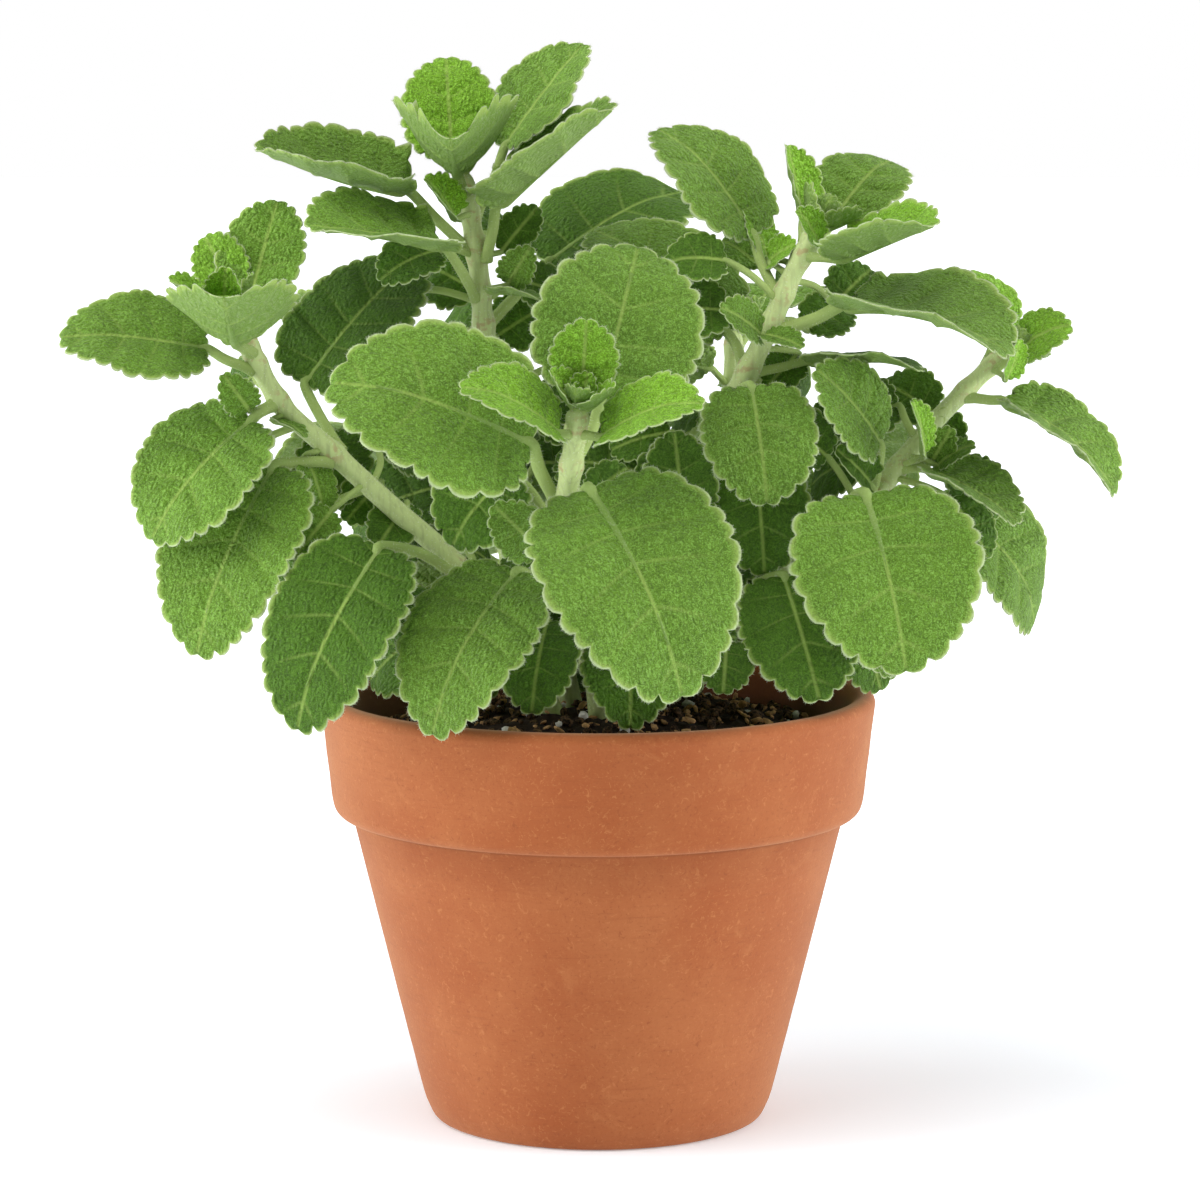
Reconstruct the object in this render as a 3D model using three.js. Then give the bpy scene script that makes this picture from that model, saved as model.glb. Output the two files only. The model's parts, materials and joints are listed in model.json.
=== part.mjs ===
// Potted cuban oregano: a broad-leaved herb with thick rounded leaves, growing from
// compost in a terracotta pot. Units are millimetres, +Z is up, and the origin is on
// the pot's axis at the underside of the pot.
import * as THREE from 'three';
import { mergeVertices } from 'three/addons/utils/BufferGeometryUtils.js';

// ---- driving dimensions ---------------------------------------------------------
const POT_HEIGHT = 121.4;
const RIM_RADIUS = 78.5; // widest, at the lip
const RIM_BAND = 34; // height of the thick collar
const RIM_FOOT_RADIUS = 75.3; // lower edge of the collar
const BODY_TOP_RADIUS = 70.2; // where the body goes under the collar
const BODY_FOOT_RADIUS = 49.6;
const FOOT_RADIUS = 47.4;
const WALL = 6.4;
const FLOOR = 8.5;
const DRAIN_RADIUS = 11;
const SOIL_DEPTH = 12; // from the lip down to the compost at the wall
const SOIL_MOUND = 3; // how much higher it lies in the middle
const GAP = 0.3; // between a piece and its neighbour
const BLADE_THICKNESS = 1.5;
const PETIOLE_RADIUS = 2; // of the broadest leaves
const POT_SEGMENTS = 48;
const SOIL_SEGMENTS = 40;

const TERRACOTTA = 0xbe7145;
const COMPOST = 0x33261c;
const STEM_GREEN = 0xb9c98c;
const LEAF_GREEN = 0x6f9f45;
const LEAF_DARK = 0x4b7a2a;
const LEAF_YOUNG = 0x8fb45a;

const v3 = (p) => new THREE.Vector3(...p);
const group = new THREE.Group();

// Adds one closed body: welds it, drops collapsed faces and turns it facing out.
function add(name, geometry, color, roughness) {
  geometry.deleteAttribute('normal');
  geometry.deleteAttribute('uv');
  const welded = mergeVertices(geometry, 1e-4);
  const p = welded.getAttribute('position');
  const faces = [];
  const idx = welded.getIndex().array;
  const [a, b, c] = [new THREE.Vector3(), new THREE.Vector3(), new THREE.Vector3()];
  let volume = 0;
  for (let i = 0; i < idx.length; i += 3) {
    const [i0, i1, i2] = [idx[i], idx[i + 1], idx[i + 2]];
    if (i0 === i1 || i1 === i2 || i0 === i2) continue;
    faces.push([i0, i1, i2]);
    a.fromBufferAttribute(p, i0);
    b.fromBufferAttribute(p, i1);
    c.fromBufferAttribute(p, i2);
    volume += a.dot(b.cross(c));
  }
  const out = volume < 0 ? faces.map(([i, j, k]) => [i, k, j]) : faces;
  welded.setIndex(out.flat());
  welded.computeVertexNormals();
  const material = new THREE.MeshStandardMaterial({ color, roughness, metalness: 0 });
  const mesh = new THREE.Mesh(welded, material);
  mesh.name = name;
  group.add(mesh);
  return mesh;
}

// A closed skin over a run of rings with the same number of points, ended by two poles.
function loft(startPole, rings, endPole) {
  const n = rings[0].length;
  const points = [startPole, ...rings.flat(), endPole];
  const index = [];
  const at = (ring, k) => 1 + ring * n + (k % n);
  for (let k = 0; k < n; k++) {
    index.push(0, at(0, k + 1), at(0, k));
    for (let r = 0; r + 1 < rings.length; r++) {
      index.push(at(r, k), at(r, k + 1), at(r + 1, k + 1));
      index.push(at(r, k), at(r + 1, k + 1), at(r + 1, k));
    }
    index.push(points.length - 1, at(rings.length - 1, k), at(rings.length - 1, k + 1));
  }
  const geometry = new THREE.BufferGeometry();
  geometry.setAttribute(
    'position',
    new THREE.Float32BufferAttribute(points.flatMap((q) => q.toArray()), 3),
  );
  geometry.setIndex(index);
  return geometry;
}

// ---- pot ------------------------------------------------------------------------
// Inner wall: one straight cone from the floor to the lip.
const innerRadius = (z) => {
  const zUnder = POT_HEIGHT - RIM_BAND;
  return BODY_TOP_RADIUS - WALL + ((z - zUnder) * (BODY_TOP_RADIUS - BODY_FOOT_RADIUS)) / 82;
};
{
  const zUnder = POT_HEIGHT - RIM_BAND;
  const outer = [
    [DRAIN_RADIUS, 0],
    [FOOT_RADIUS - 1.2, 0],
    [FOOT_RADIUS, 0.9],
    [BODY_FOOT_RADIUS, 6],
    [BODY_TOP_RADIUS, zUnder + 2],
    [RIM_FOOT_RADIUS - 4.2, zUnder + 0.4],
    [RIM_FOOT_RADIUS - 2.4, zUnder],
    [RIM_FOOT_RADIUS - 0.6, zUnder + 1.6],
    [RIM_FOOT_RADIUS, zUnder + 5],
    [RIM_RADIUS - 0.2, POT_HEIGHT - 3.6],
    [RIM_RADIUS, POT_HEIGHT - 2.4],
    [RIM_RADIUS - 0.5, POT_HEIGHT - 0.9],
    [RIM_RADIUS - 1.8, POT_HEIGHT],
  ];
  const inner = [
    [innerRadius(POT_HEIGHT) + 2, POT_HEIGHT],
    [innerRadius(POT_HEIGHT) + 0.6, POT_HEIGHT - 0.8],
    [innerRadius(POT_HEIGHT - 3), POT_HEIGHT - 3],
    [innerRadius(FLOOR + 5), FLOOR + 5],
    [innerRadius(FLOOR) - 3, FLOOR],
    [DRAIN_RADIUS, FLOOR],
    [DRAIN_RADIUS, 0],
  ];
  const profile = [...outer, ...inner].map(([r, z]) => new THREE.Vector2(r, z));
  const pot = new THREE.LatheGeometry(profile, POT_SEGMENTS);
  add('pot', pot.rotateX(Math.PI / 2), TERRACOTTA, 0.9);
}

// ---- compost --------------------------------------------------------------------
const soilEdgeZ = POT_HEIGHT - SOIL_DEPTH;
const soilZ = (x, y) => {
  const r = Math.hypot(x, y) / innerRadius(soilEdgeZ);
  const lumps = 0.7 * Math.sin(x * 0.21 + 1.3) * Math.cos(y * 0.17) + 0.5 * Math.sin(y * 0.31 - x * 0.11);
  return soilEdgeZ + SOIL_MOUND * (1 - r * r) + lumps;
};
{
  const edge = innerRadius(soilEdgeZ) - GAP;
  const profile = [
    [0, FLOOR + GAP],
    [innerRadius(FLOOR) - 3.8, FLOOR + GAP],
    [innerRadius(FLOOR + 5) - GAP - 0.2, FLOOR + 5],
    [innerRadius(soilEdgeZ - 4) - GAP, soilEdgeZ - 4],
    ...[0.985, 0.86, 0.7, 0.52, 0.34, 0.17, 0].map((k) => [edge * k, soilEdgeZ]),
  ].map(([r, z]) => new THREE.Vector2(r, z));
  const soil = new THREE.LatheGeometry(profile, SOIL_SEGMENTS).rotateX(Math.PI / 2);
  const p = soil.getAttribute('position');
  for (let i = 0; i < p.count; i++) {
    if (p.getZ(i) > soilEdgeZ - 1) p.setZ(i, soilZ(p.getX(i), p.getY(i)));
  }
  add('soil', soil, COMPOST, 1);
}

// ---- stems ----------------------------------------------------------------------
// Each stem is a tube on a smooth curve that stands on the compost and starts upright.
// The first point gives only x and y: its height is the compost's.
const SIDES = 10;
const stems = {};
function stem(name, radius, tipRadius, points) {
  const [[x0, y0], [x1, y1]] = points;
  const z0 = soilZ(x0, y0) + GAP + 1.3;
  const path = new THREE.CatmullRomCurve3(
    [[x0, y0, z0], [x0 + 0.12 * (x1 - x0), y0 + 0.12 * (y1 - y0), z0 + 8], ...points.slice(1)].map(v3),
    false,
    'centripetal',
  );
  const length = path.getLength();
  const count = Math.max(7, Math.round(length / 15));
  const frames = path.computeFrenetFrames(count, false);
  const rings = [];
  for (let i = 0; i <= count; i++) {
    const t = i / count;
    const c = path.getPointAt(t);
    const r = THREE.MathUtils.lerp(radius, tipRadius, t * t);
    const ring = [];
    for (let k = 0; k < SIDES; k++) {
      const a = (2 * Math.PI * k) / SIDES;
      const spoke = frames.normals[i].clone().multiplyScalar(Math.cos(a) * r);
      ring.push(c.clone().add(spoke).addScaledVector(frames.binormals[i], Math.sin(a) * r));
    }
    rings.push(ring);
  }
  const start = path.getPointAt(0).addScaledVector(frames.tangents[0], -0.5);
  const end = path.getPointAt(1).addScaledVector(frames.tangents[count], 1.5);
  stems[name] = { path, radiusAt: (t) => THREE.MathUtils.lerp(radius, tipRadius, t * t) };
  add(name, loft(start, rings, end), STEM_GREEN, 0.8);
}

stem('stem_front', 3.4, 2.6, [[1, -12], [-4, -35, 150], [-8, -58, 182], [-6, -68, 199], [-5, -72, 208]]);
stem('stem_top', 3.1, 2.4, [[-7, 8], [-20, 9, 160], [-28, 8, 198], [-33, 6, 232], [-34, 4, 248],
  [-37, 2, 260], [-38, 1, 268]]);
stem('stem_left', 3, 2.3, [[-11, -8], [-41, -18, 161], [-56, -20, 175], [-74, -22, 192],
  [-89, -24, 207], [-95, -26, 220], [-99, -28, 230]]);
stem('stem_right', 3.2, 2.4, [[12, 0], [26, -8, 182], [41, -14, 212], [50, -16, 231], [57, -14, 247],
  [61, -12, 253]]);
stem('stem_far_right', 3, 2.2, [[15, 12], [46, -5, 148], [73, -15, 174], [86, -10, 189],
  [97, -2, 201], [109, 0, 212], [114, 0, 217]]);
stem('stem_back_left', 3.1, 2.3, [[-14, 22], [-26, 44, 155], [-36, 58, 190], [-40, 64, 207]]);
stem('stem_back_right', 3.1, 2.3, [[18, 26], [30, 42, 150], [38, 54, 190], [40, 60, 220]]);

// ---- leaves ---------------------------------------------------------------------
// A leaf is its stalk and blade in one body. It leaves its stem at the fraction `at` of
// the stem's length. `base` and `tip` are the ends of the blade's midrib, `faces` is the
// way its upper side looks, `cup` lifts the two edges (as a share of the half width)
// and `arch` bows the midrib up (as a share of the blade's length).
const STATIONS = [0.07, 0.2, 0.36, 0.53, 0.69, 0.83, 0.94];
const STALK = [0.1, 0.5, 0.95];
// Seven points around a section: the upper side with its two edges, then the lower.
const ACROSS = [-1, -0.5, 0, 0.5, 1, 0.45, -0.45];
const AROUND = [180, 135, 90, 45, 0, -60, -120].map(THREE.MathUtils.degToRad);
// Broadly ovate outline: quick to full width near the base, blunt at the tip.
const outline = (u) => Math.pow(u, 0.42) * Math.pow(1 - u, 0.6) * 1.996;

function leaf(name, o) {
  const { path, radiusAt } = stems[o.stem];
  const base = v3(o.base);
  const tip = v3(o.tip);
  const length = base.distanceTo(tip);
  const along = tip.clone().sub(base).divideScalar(length);
  const up = v3(o.faces);
  up.addScaledVector(along, -up.dot(along)).normalize();
  const side = along.clone().cross(up).normalize();
  const cup = o.cup ?? 0.12;
  const arch = o.arch ?? 0.06;
  const half = o.width / 2;

  // stalk: leaves the stem sideways and meets the blade along the midrib
  const centre = path.getPointAt(o.at);
  const tangent = path.getTangentAt(o.at);
  const out = base.clone().sub(centre);
  out.addScaledVector(tangent, -out.dot(tangent)).normalize();
  const start = centre.clone().addScaledVector(out, radiusAt(o.at) + 3 * GAP);
  const reach = start.distanceTo(base);
  const entry = along.clone().addScaledVector(up, 4 * arch).normalize();
  const stalk = new THREE.CubicBezierCurve3(
    start,
    start.clone().addScaledVector(out, 0.4 * reach).addScaledVector(tangent, 0.1 * reach),
    base.clone().addScaledVector(entry, -0.35 * reach),
    base,
  );
  // section frames are carried back along the stalk from the blade without twisting
  const frames = [];
  let [s, n, d] = [side.clone(), up.clone(), entry.clone()];
  for (const t of [...STALK].reverse()) {
    const next = stalk.getTangent(t).normalize();
    const turn = new THREE.Quaternion().setFromUnitVectors(d, next);
    s = s.clone().applyQuaternion(turn);
    n = n.clone().applyQuaternion(turn);
    d = next;
    frames.unshift([s, n]);
  }
  const rings = STALK.map((t, i) => {
    const c = stalk.getPoint(t);
    const r = PETIOLE_RADIUS * (o.width < 24 ? 0.6 : o.width < 36 ? 0.8 : 1);
    return AROUND.map((a) => c.clone().addScaledVector(frames[i][0], Math.cos(a) * r)
      .addScaledVector(frames[i][1], Math.sin(a) * r));
  });
  for (const u of STATIONS) {
    const c = base.clone().addScaledVector(along, u * length)
      .addScaledVector(up, arch * length * 4 * u * (1 - u));
    const w = half * outline(u);
    const thick = BLADE_THICKNESS * (1 - 0.35 * u);
    rings.push(ACROSS.map((k, i) => c.clone().addScaledVector(side, w * k * (1 - 0.25 * cup * cup))
      .addScaledVector(up, cup * w * k * k - (i > 4 ? thick : 0))));
  }
  add(name, loft(start, rings, tip), o.color ?? LEAF_GREEN, 0.75);
}

// leaves of the stem that leans to the front
const front = (name, o) => leaf(`leaf_front_${name}`, { stem: 'stem_front', ...o });
front('left', { at: 0.74, base: [-18, -66, 198], tip: [-69, -74, 217], width: 49,
  faces: [-0.1, -0.75, 0.65] });
front('back', { at: 0.84, base: [1, -57, 209], tip: [11, -44, 250], width: 44,
  faces: [0.05, -0.95, 0.35], cup: 0.06 });
front('right', { at: 0.74, base: [-2, -71, 186], tip: [23, -94, 136], width: 52,
  faces: [0.15, -0.85, 0.5], arch: 0.12 });
front('young_left', { at: 0.94, base: [-10, -75, 202], tip: [-34, -87, 216], width: 24,
  faces: [0.3, -0.5, 0.8], cup: 0.25, color: LEAF_YOUNG });
front('young_right', { at: 0.94, base: [1, -75, 201], tip: [26, -86, 212], width: 25,
  faces: [-0.2, -0.5, 0.85], cup: 0.25, color: LEAF_YOUNG });
front('young_top', { at: 0.97, base: [-4, -68, 214], tip: [-3, -70, 231], width: 18,
  faces: [0, -0.95, 0.2], cup: 0.3, color: LEAF_YOUNG });
front('middle', { at: 0.55, base: [-25, -40, 187], tip: [-40, -46, 169], width: 29,
  faces: [-0.3, -0.8, 0.5], color: LEAF_DARK });
front('under', { at: 0.45, base: [-22, -54, 162], tip: [-45, -77, 123], width: 37,
  faces: [-0.3, -0.75, 0.55], arch: 0.1 });
front('soil_left', { at: 0.25, base: [-14, -36, 146], tip: [-18, -56, 125], width: 22,
  faces: [-0.1, -0.75, 0.65], color: LEAF_DARK });
front('soil_right', { at: 0.2, base: [8, -34, 140], tip: [9, -58, 122], width: 26,
  faces: [0.1, -0.7, 0.7], color: LEAF_DARK });

// leaves of the tallest stem
const top = (name, o) => leaf(`leaf_top_${name}`, { stem: 'stem_top', ...o });
top('left', { at: 0.865, base: [-53, -4, 263], tip: [-94, -12, 275], width: 36,
  faces: [0.25, -0.25, 0.95], cup: 0.45, arch: -0.04 });
top('low_left', { at: 0.78, base: [-43, -12, 248], tip: [-78, -36, 254], width: 35,
  faces: [0.1, -0.35, 0.95], cup: 0.35, arch: 0.02 });
top('back', { at: 0.97, base: [-41, 10, 272], tip: [-43, 22, 300], width: 26,
  faces: [0, -0.95, 0.25], cup: 0.1, arch: 0, color: LEAF_YOUNG });
top('front', { at: 0.97, base: [-39, -6, 268], tip: [-40, -30, 278], width: 38,
  faces: [0, 0.3, 1], cup: 0.75, arch: -0.04, color: LEAF_YOUNG });
top('upright', { at: 0.92, base: [-26, 11, 275], tip: [-4, 20, 303], width: 31,
  faces: [-0.6, -0.55, 0.55], cup: 0.2, arch: 0.02 });
top('right', { at: 0.85, base: [-28, -3, 259], tip: [4, -18, 286], width: 38,
  faces: [-0.5, -0.05, 0.85], cup: 0.4, arch: 0 });
top('behind', { at: 0.72, base: [-14, 34, 241], tip: [25, 56, 262], width: 41,
  faces: [-0.2, -0.6, 0.75], color: LEAF_DARK });

// leaves of the stem that leans to the left
const left = (name, o) => leaf(`leaf_left_${name}`, { stem: 'stem_left', ...o });
left('out', { at: 0.9, base: [-107, -32, 221], tip: [-145, -40, 226], width: 33,
  faces: [-0.1, -0.6, 0.8], arch: 0.02 });
left('top', { at: 0.95, base: [-96, -17, 233], tip: [-89, -6, 260], width: 24,
  faces: [-0.2, -0.9, 0.35], cup: 0.15, arch: 0 });
left('front', { at: 0.93, base: [-98, -38, 223], tip: [-99, -64, 237], width: 36,
  faces: [0, 0.5, 0.9], cup: 0.5, arch: -0.04, color: LEAF_YOUNG });
left('dark', { at: 0.68, base: [-81, -12, 210], tip: [-51, 8, 243], width: 35,
  faces: [-0.3, -0.75, 0.6], color: LEAF_DARK });
left('low', { at: 0.82, base: [-95, -32, 201], tip: [-122, -42, 170], width: 37,
  faces: [-0.4, -0.8, 0.5], arch: 0.08 });
left('lowest', { at: 0.68, base: [-89, -30, 188], tip: [-110, -46, 139], width: 39,
  faces: [-0.3, -0.85, 0.45], arch: 0.08 });
left('under', { at: 0.36, base: [-59, -50, 168], tip: [-82, -68, 123], width: 37,
  faces: [-0.3, -0.85, 0.4], arch: 0.08, color: LEAF_DARK });

// leaves of the stem that leans to the right
const right = (name, o) => leaf(`leaf_right_${name}`, { stem: 'stem_right', ...o });
right('left', { at: 0.86, base: [43, -5, 251], tip: [18, 5, 281], width: 34,
  faces: [0.5, -0.6, 0.6] });
right('upright', { at: 0.97, base: [57, -5, 256], tip: [53, 1, 275], width: 15,
  faces: [0.75, -0.6, 0.1], cup: 0.5, arch: 0, color: LEAF_YOUNG });
right('back', { at: 0.93, base: [67, 3, 256], tip: [83, 20, 272], width: 27,
  faces: [-0.3, -0.8, 0.5] });
right('cup', { at: 0.94, base: [66, -20, 245], tip: [91, -38, 255], width: 31,
  faces: [-0.2, -0.1, 1], cup: 0.45, arch: 0, color: LEAF_YOUNG });
right('big', { at: 0.8, base: [68, -20, 232], tip: [111, -42, 220], width: 50,
  faces: [0.25, -0.25, 0.95], cup: 0.3, arch: 0.08 });
right('behind', { at: 0.7, base: [36, 6, 223], tip: [-1, 28, 252], width: 36,
  faces: [0.25, -0.7, 0.65] });
right('edge', { at: 0.71, base: [59, -9, 216], tip: [89, -20, 216], width: 29,
  faces: [0, 0.1, 1], arch: 0.03, color: LEAF_DARK });
right('hang', { at: 0.64, base: [42, -32, 210], tip: [46, -45, 180], width: 31,
  faces: [0.1, -0.9, 0.4], cup: 0.08 });
right('inner', { at: 0.4, base: [24, -24, 172], tip: [21, -22, 197], width: 20,
  faces: [0, -0.95, 0.25], color: LEAF_DARK });
right('shade', { at: 0.5, base: [44, -18, 187], tip: [46, -26, 158], width: 27,
  faces: [0, -0.9, 0.4], color: LEAF_DARK });

// leaves of the stem that reaches furthest to the right
const far = (name, o) => leaf(`leaf_far_${name}`, { stem: 'stem_far_right', ...o });
far('tip', { at: 0.98, base: [118, -3, 219], tip: [131, -8, 226], width: 17,
  faces: [-0.2, -0.7, 0.7], color: LEAF_YOUNG });
far('back', { at: 0.97, base: [112, 5, 221], tip: [106, 14, 240], width: 21,
  faces: [0.5, -0.65, 0.5], color: LEAF_YOUNG });
far('hang', { at: 0.9, base: [114, -5, 204], tip: [144, -13, 179], width: 33,
  faces: [0.45, -0.3, 0.8], cup: 0.3, arch: 0.1 });
far('up_left', { at: 0.64, base: [78, -22, 194], tip: [60, -32, 215], width: 26,
  faces: [0.3, -0.7, 0.6] });
far('low_right', { at: 0.7, base: [92, -18, 186], tip: [115, -32, 173], width: 26,
  faces: [0.1, -0.2, 1], cup: 0.3, arch: 0.06 });
far('behind', { at: 0.6, base: [98, 6, 175], tip: [128, 16, 139], width: 36,
  faces: [0.4, -0.6, 0.6], arch: 0.1 });
far('front', { at: 0.56, base: [73, -38, 181], tip: [83, -60, 136], width: 50,
  faces: [0.1, -0.9, 0.4], arch: 0.1 });
far('low', { at: 0.3, base: [51, -32, 158], tip: [60, -52, 127], width: 32,
  faces: [0, -0.85, 0.5], color: LEAF_DARK });

// leaves of the two stems at the back
const backLeft = (name, o) => leaf(`leaf_back_left_${name}`, { stem: 'stem_back_left', ...o });
const backRight = (name, o) => leaf(`leaf_back_right_${name}`, { stem: 'stem_back_right', ...o });
backLeft('side', { at: 0.88, base: [-62, 44, 212], tip: [-92, 52, 226], width: 34,
  faces: [0.1, 0.5, 0.85], cup: 0.25 });
backLeft('out', { at: 0.68, base: [-56, 62, 186], tip: [-94, 74, 172], width: 44,
  faces: [-0.3, 0.45, 0.85], arch: 0.1 });
backLeft('top', { at: 0.97, base: [-42, 73, 211], tip: [-50, 100, 215], width: 38,
  faces: [-0.1, 0.3, 0.95], arch: 0.08 });
backLeft('inner', { at: 0.8, base: [-22, 70, 194], tip: [8, 90, 178], width: 42,
  faces: [0.3, 0.65, 0.7], arch: 0.1 });
backLeft('low', { at: 0.42, base: [-42, 64, 158], tip: [-64, 92, 126], width: 46,
  faces: [-0.4, 0.75, 0.55], arch: 0.1 });
backRight('low', { at: 0.42, base: [52, 64, 154], tip: [76, 88, 122], width: 47,
  faces: [0.4, 0.75, 0.55], arch: 0.1 });
backRight('middle', { at: 0.36, base: [6, 64, 152], tip: [-4, 96, 124], width: 47,
  faces: [0, 0.8, 0.6], arch: 0.1 });
backRight('out', { at: 0.68, base: [58, 60, 190], tip: [94, 74, 176], width: 46,
  faces: [0.3, 0.45, 0.85], arch: 0.1 });
backRight('top', { at: 0.96, base: [46, 70, 224], tip: [56, 98, 230], width: 40,
  faces: [0.15, 0.35, 0.9], arch: 0.08 });

export default group;
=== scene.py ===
import json
import math

import bpy
import numpy as np
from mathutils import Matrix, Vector


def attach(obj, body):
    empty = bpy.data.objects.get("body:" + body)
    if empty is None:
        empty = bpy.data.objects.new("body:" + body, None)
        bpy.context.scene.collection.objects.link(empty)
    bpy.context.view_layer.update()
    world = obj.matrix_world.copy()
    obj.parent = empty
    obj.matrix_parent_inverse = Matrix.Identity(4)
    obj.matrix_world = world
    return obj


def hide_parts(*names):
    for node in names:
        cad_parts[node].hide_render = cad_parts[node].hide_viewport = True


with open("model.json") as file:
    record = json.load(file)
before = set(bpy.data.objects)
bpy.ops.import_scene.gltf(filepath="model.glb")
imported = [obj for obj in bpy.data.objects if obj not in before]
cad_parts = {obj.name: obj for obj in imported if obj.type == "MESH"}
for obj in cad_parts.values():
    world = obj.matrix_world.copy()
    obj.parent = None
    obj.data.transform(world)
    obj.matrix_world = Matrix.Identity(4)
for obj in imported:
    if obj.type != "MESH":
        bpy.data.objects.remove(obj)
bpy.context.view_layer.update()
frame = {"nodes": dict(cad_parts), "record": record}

bl_info = {
    "name": "Potted cuban oregano",
    "version": (1, 0, 0),
    "blender": (4, 5, 0),
    "location": "View3D > Sidebar > Oregano",
    "description": "Builds a potted cuban oregano: pot, compost, hairy stems and scalloped leaves",
    "category": "Object",
}

MM = 0.001  # shapes are worked out in millimetres, meshes are in metres


# ---- colours and nodes ------------------------------------------------------------
def linear(hexcode):
    """An sRGB hex colour as linear red, green, blue and alpha 1."""
    c = np.array([int(hexcode[i : i + 2], 16) for i in (0, 2, 4)]) / 255
    c = np.where(c <= 0.04045, c / 12.92, ((c + 0.055) / 1.055) ** 2.4)
    return (*[float(v) for v in c], 1.0)


def add(tree, kind, settings=(), **inputs):
    """Adds one node. Settings are its properties; inputs are sockets by name or number
    (in0, in1 ...), each given a value or another node's output to link."""
    made = tree.nodes.new(kind)
    for key, value in dict(settings).items():
        setattr(made, key, value)
    for key, value in inputs.items():
        number = key[2:] if key.startswith("in") and key[2:].isdigit() else None
        socket = made.inputs[int(number)] if number else made.inputs[key.replace("_", " ")]
        if isinstance(value, bpy.types.NodeSocket):
            tree.links.new(value, socket)
        else:
            socket.default_value = value
    return made


def new_material(name):
    """An empty node material and its tree."""
    material = bpy.data.materials.new(name)
    material.use_nodes = True
    material.node_tree.nodes.clear()
    return material, material.node_tree


def blend(tree, amount, a, b):
    """Mixes two colours, each a value or an output."""
    made = add(tree, "ShaderNodeMix", {"data_type": "RGBA"}, in0=amount)
    for socket, value in ((made.inputs[6], a), (made.inputs[7], b)):
        if isinstance(value, bpy.types.NodeSocket):
            tree.links.new(value, socket)
        else:
            socket.default_value = value
    return made.outputs[2]


def layers(tree, colour, *coats):
    """A colour under coats, each given as how much of it shows and its own colour."""
    for amount, coat in coats:
        colour = blend(tree, amount, colour, coat)
    return colour


def shade(colour, by, plus=0.0):
    """A colour made darker or lighter: its red, green and blue times by, and plus."""
    return tuple(min(1.0, c * by + plus) for c in colour[:3]) + (1.0,)


def sums(tree, how, a, b=0.0, c=0.0):
    """One Math node."""
    return add(tree, "ShaderNodeMath", {"operation": how}, in0=a, in1=b, in2=c).outputs[0]


def times(tree, a, b):
    """The product of two values."""
    return sums(tree, "MULTIPLY", a, b)


def remap(tree, value, low, high, to_low=0.0, to_high=1.0):
    """A value moved from one range to another with eased, held ends."""
    made = add(tree, "ShaderNodeMapRange", {"interpolation_type": "SMOOTHSTEP"}, in0=value,
               in1=low, in2=high, in3=to_low, in4=to_high)
    return made.outputs[0]


def stored(tree, name, kind="Fac"):
    """What the mesh holds under this name at each point."""
    return add(tree, "ShaderNodeAttribute", {"attribute_name": name}).outputs[kind]


def noise(tree, where, scale, detail=2.0, rough=0.5, twist=0.0):
    """Noise of scale grains to the metre, when where is in metres."""
    return add(tree, "ShaderNodeTexNoise", Vector=where, Scale=scale, Detail=detail,
               Roughness=rough, Distortion=twist).outputs["Fac"]


def dress(tree, colour, height, strength, deep, glow=0.0, shine=None, **finish):
    """Ends a material: a skin with bumps up to deep mm, which lets the share glow of the
    light through in the colour shine."""
    bump = add(tree, "ShaderNodeBump", Strength=strength, Distance=deep * MM, Height=height)
    skin = add(tree, "ShaderNodeBsdfPrincipled", Base_Color=colour, Normal=bump.outputs[0],
               **finish)
    if glow:
        through = add(tree, "ShaderNodeBsdfTranslucent", Color=shine)
        skin = add(tree, "ShaderNodeMixShader", in0=glow, in1=skin.outputs[0],
                   in2=through.outputs[0])
    add(tree, "ShaderNodeOutputMaterial", Surface=skin.outputs[0])


# ---- meshes -----------------------------------------------------------------------
def signed_volume(v, f):
    """Sum over the faces of corner · (next × last) / 6; a face out surface gives more than 0."""
    return float(np.einsum("ij,ij->i", v[f[:, 0]], np.cross(v[f[:, 1]], v[f[:, 2]])).sum())


def ring_quads(rows, around, closed=False):
    """Quads from each ring of points to the next, and from the last to the first when
    closed."""
    i, j = np.meshgrid(np.arange(rows - 1 + closed), np.arange(around), indexing="ij")
    here, after, k = i * around, (i + 1) % rows * around, (j + 1) % around
    return np.stack([here + j, here + k, after + k, after + j], -1).reshape(-1, 4)


def loft(rings):
    """Closed skin over rings[n, m, 3]: neighbours are joined by quads, and the first and
    last ring each close on a point at their mean. Gives a list of (points, faces)."""
    n, m, _ = rings.shape
    points = np.vstack([rings.reshape(-1, 3), rings[:1].mean(1), rings[-1:].mean(1)])
    quads = ring_quads(n, m)
    j = np.arange(m)
    k = (j + 1) % m
    start = np.stack([np.full(m, n * m), k, j], -1)
    end = np.stack([np.full(m, n * m + 1), (n - 1) * m + j, (n - 1) * m + k], -1)
    tris = np.vstack([start, end, quads[:, :3], quads[:, [0, 2, 3]]])
    if signed_volume(points, tris) < 0:
        quads, start, end = quads[:, ::-1], start[:, ::-1], end[:, ::-1]
    return points, [quads, np.vstack([start, end])]


def square_to(ways, ref):
    """Two unit vectors for each of the ways, square to it and to each other."""
    e1 = np.cross(ways, ref)
    e1 /= np.linalg.norm(e1, axis=1, keepdims=True)
    return e1, np.cross(ways, e1)


def tube(path, radius, sides):
    """Rings around a path: centre + radius (cos a · e1 + sin a · e2), where e1 and e2
    are square to the path and to each other."""
    tangent = np.gradient(path, axis=0)
    tangent /= np.linalg.norm(tangent, axis=1, keepdims=True)
    e1, e2 = square_to(tangent, np.eye(3)[np.argmin(np.abs(tangent).mean(0))])
    a = np.linspace(0, 2 * np.pi, sides, endpoint=False)
    spoke = np.cos(a)[None, :, None] * e1[:, None] + np.sin(a)[None, :, None] * e2[:, None]
    return path[:, None] + radius[:, None, None] * spoke, spoke


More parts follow.
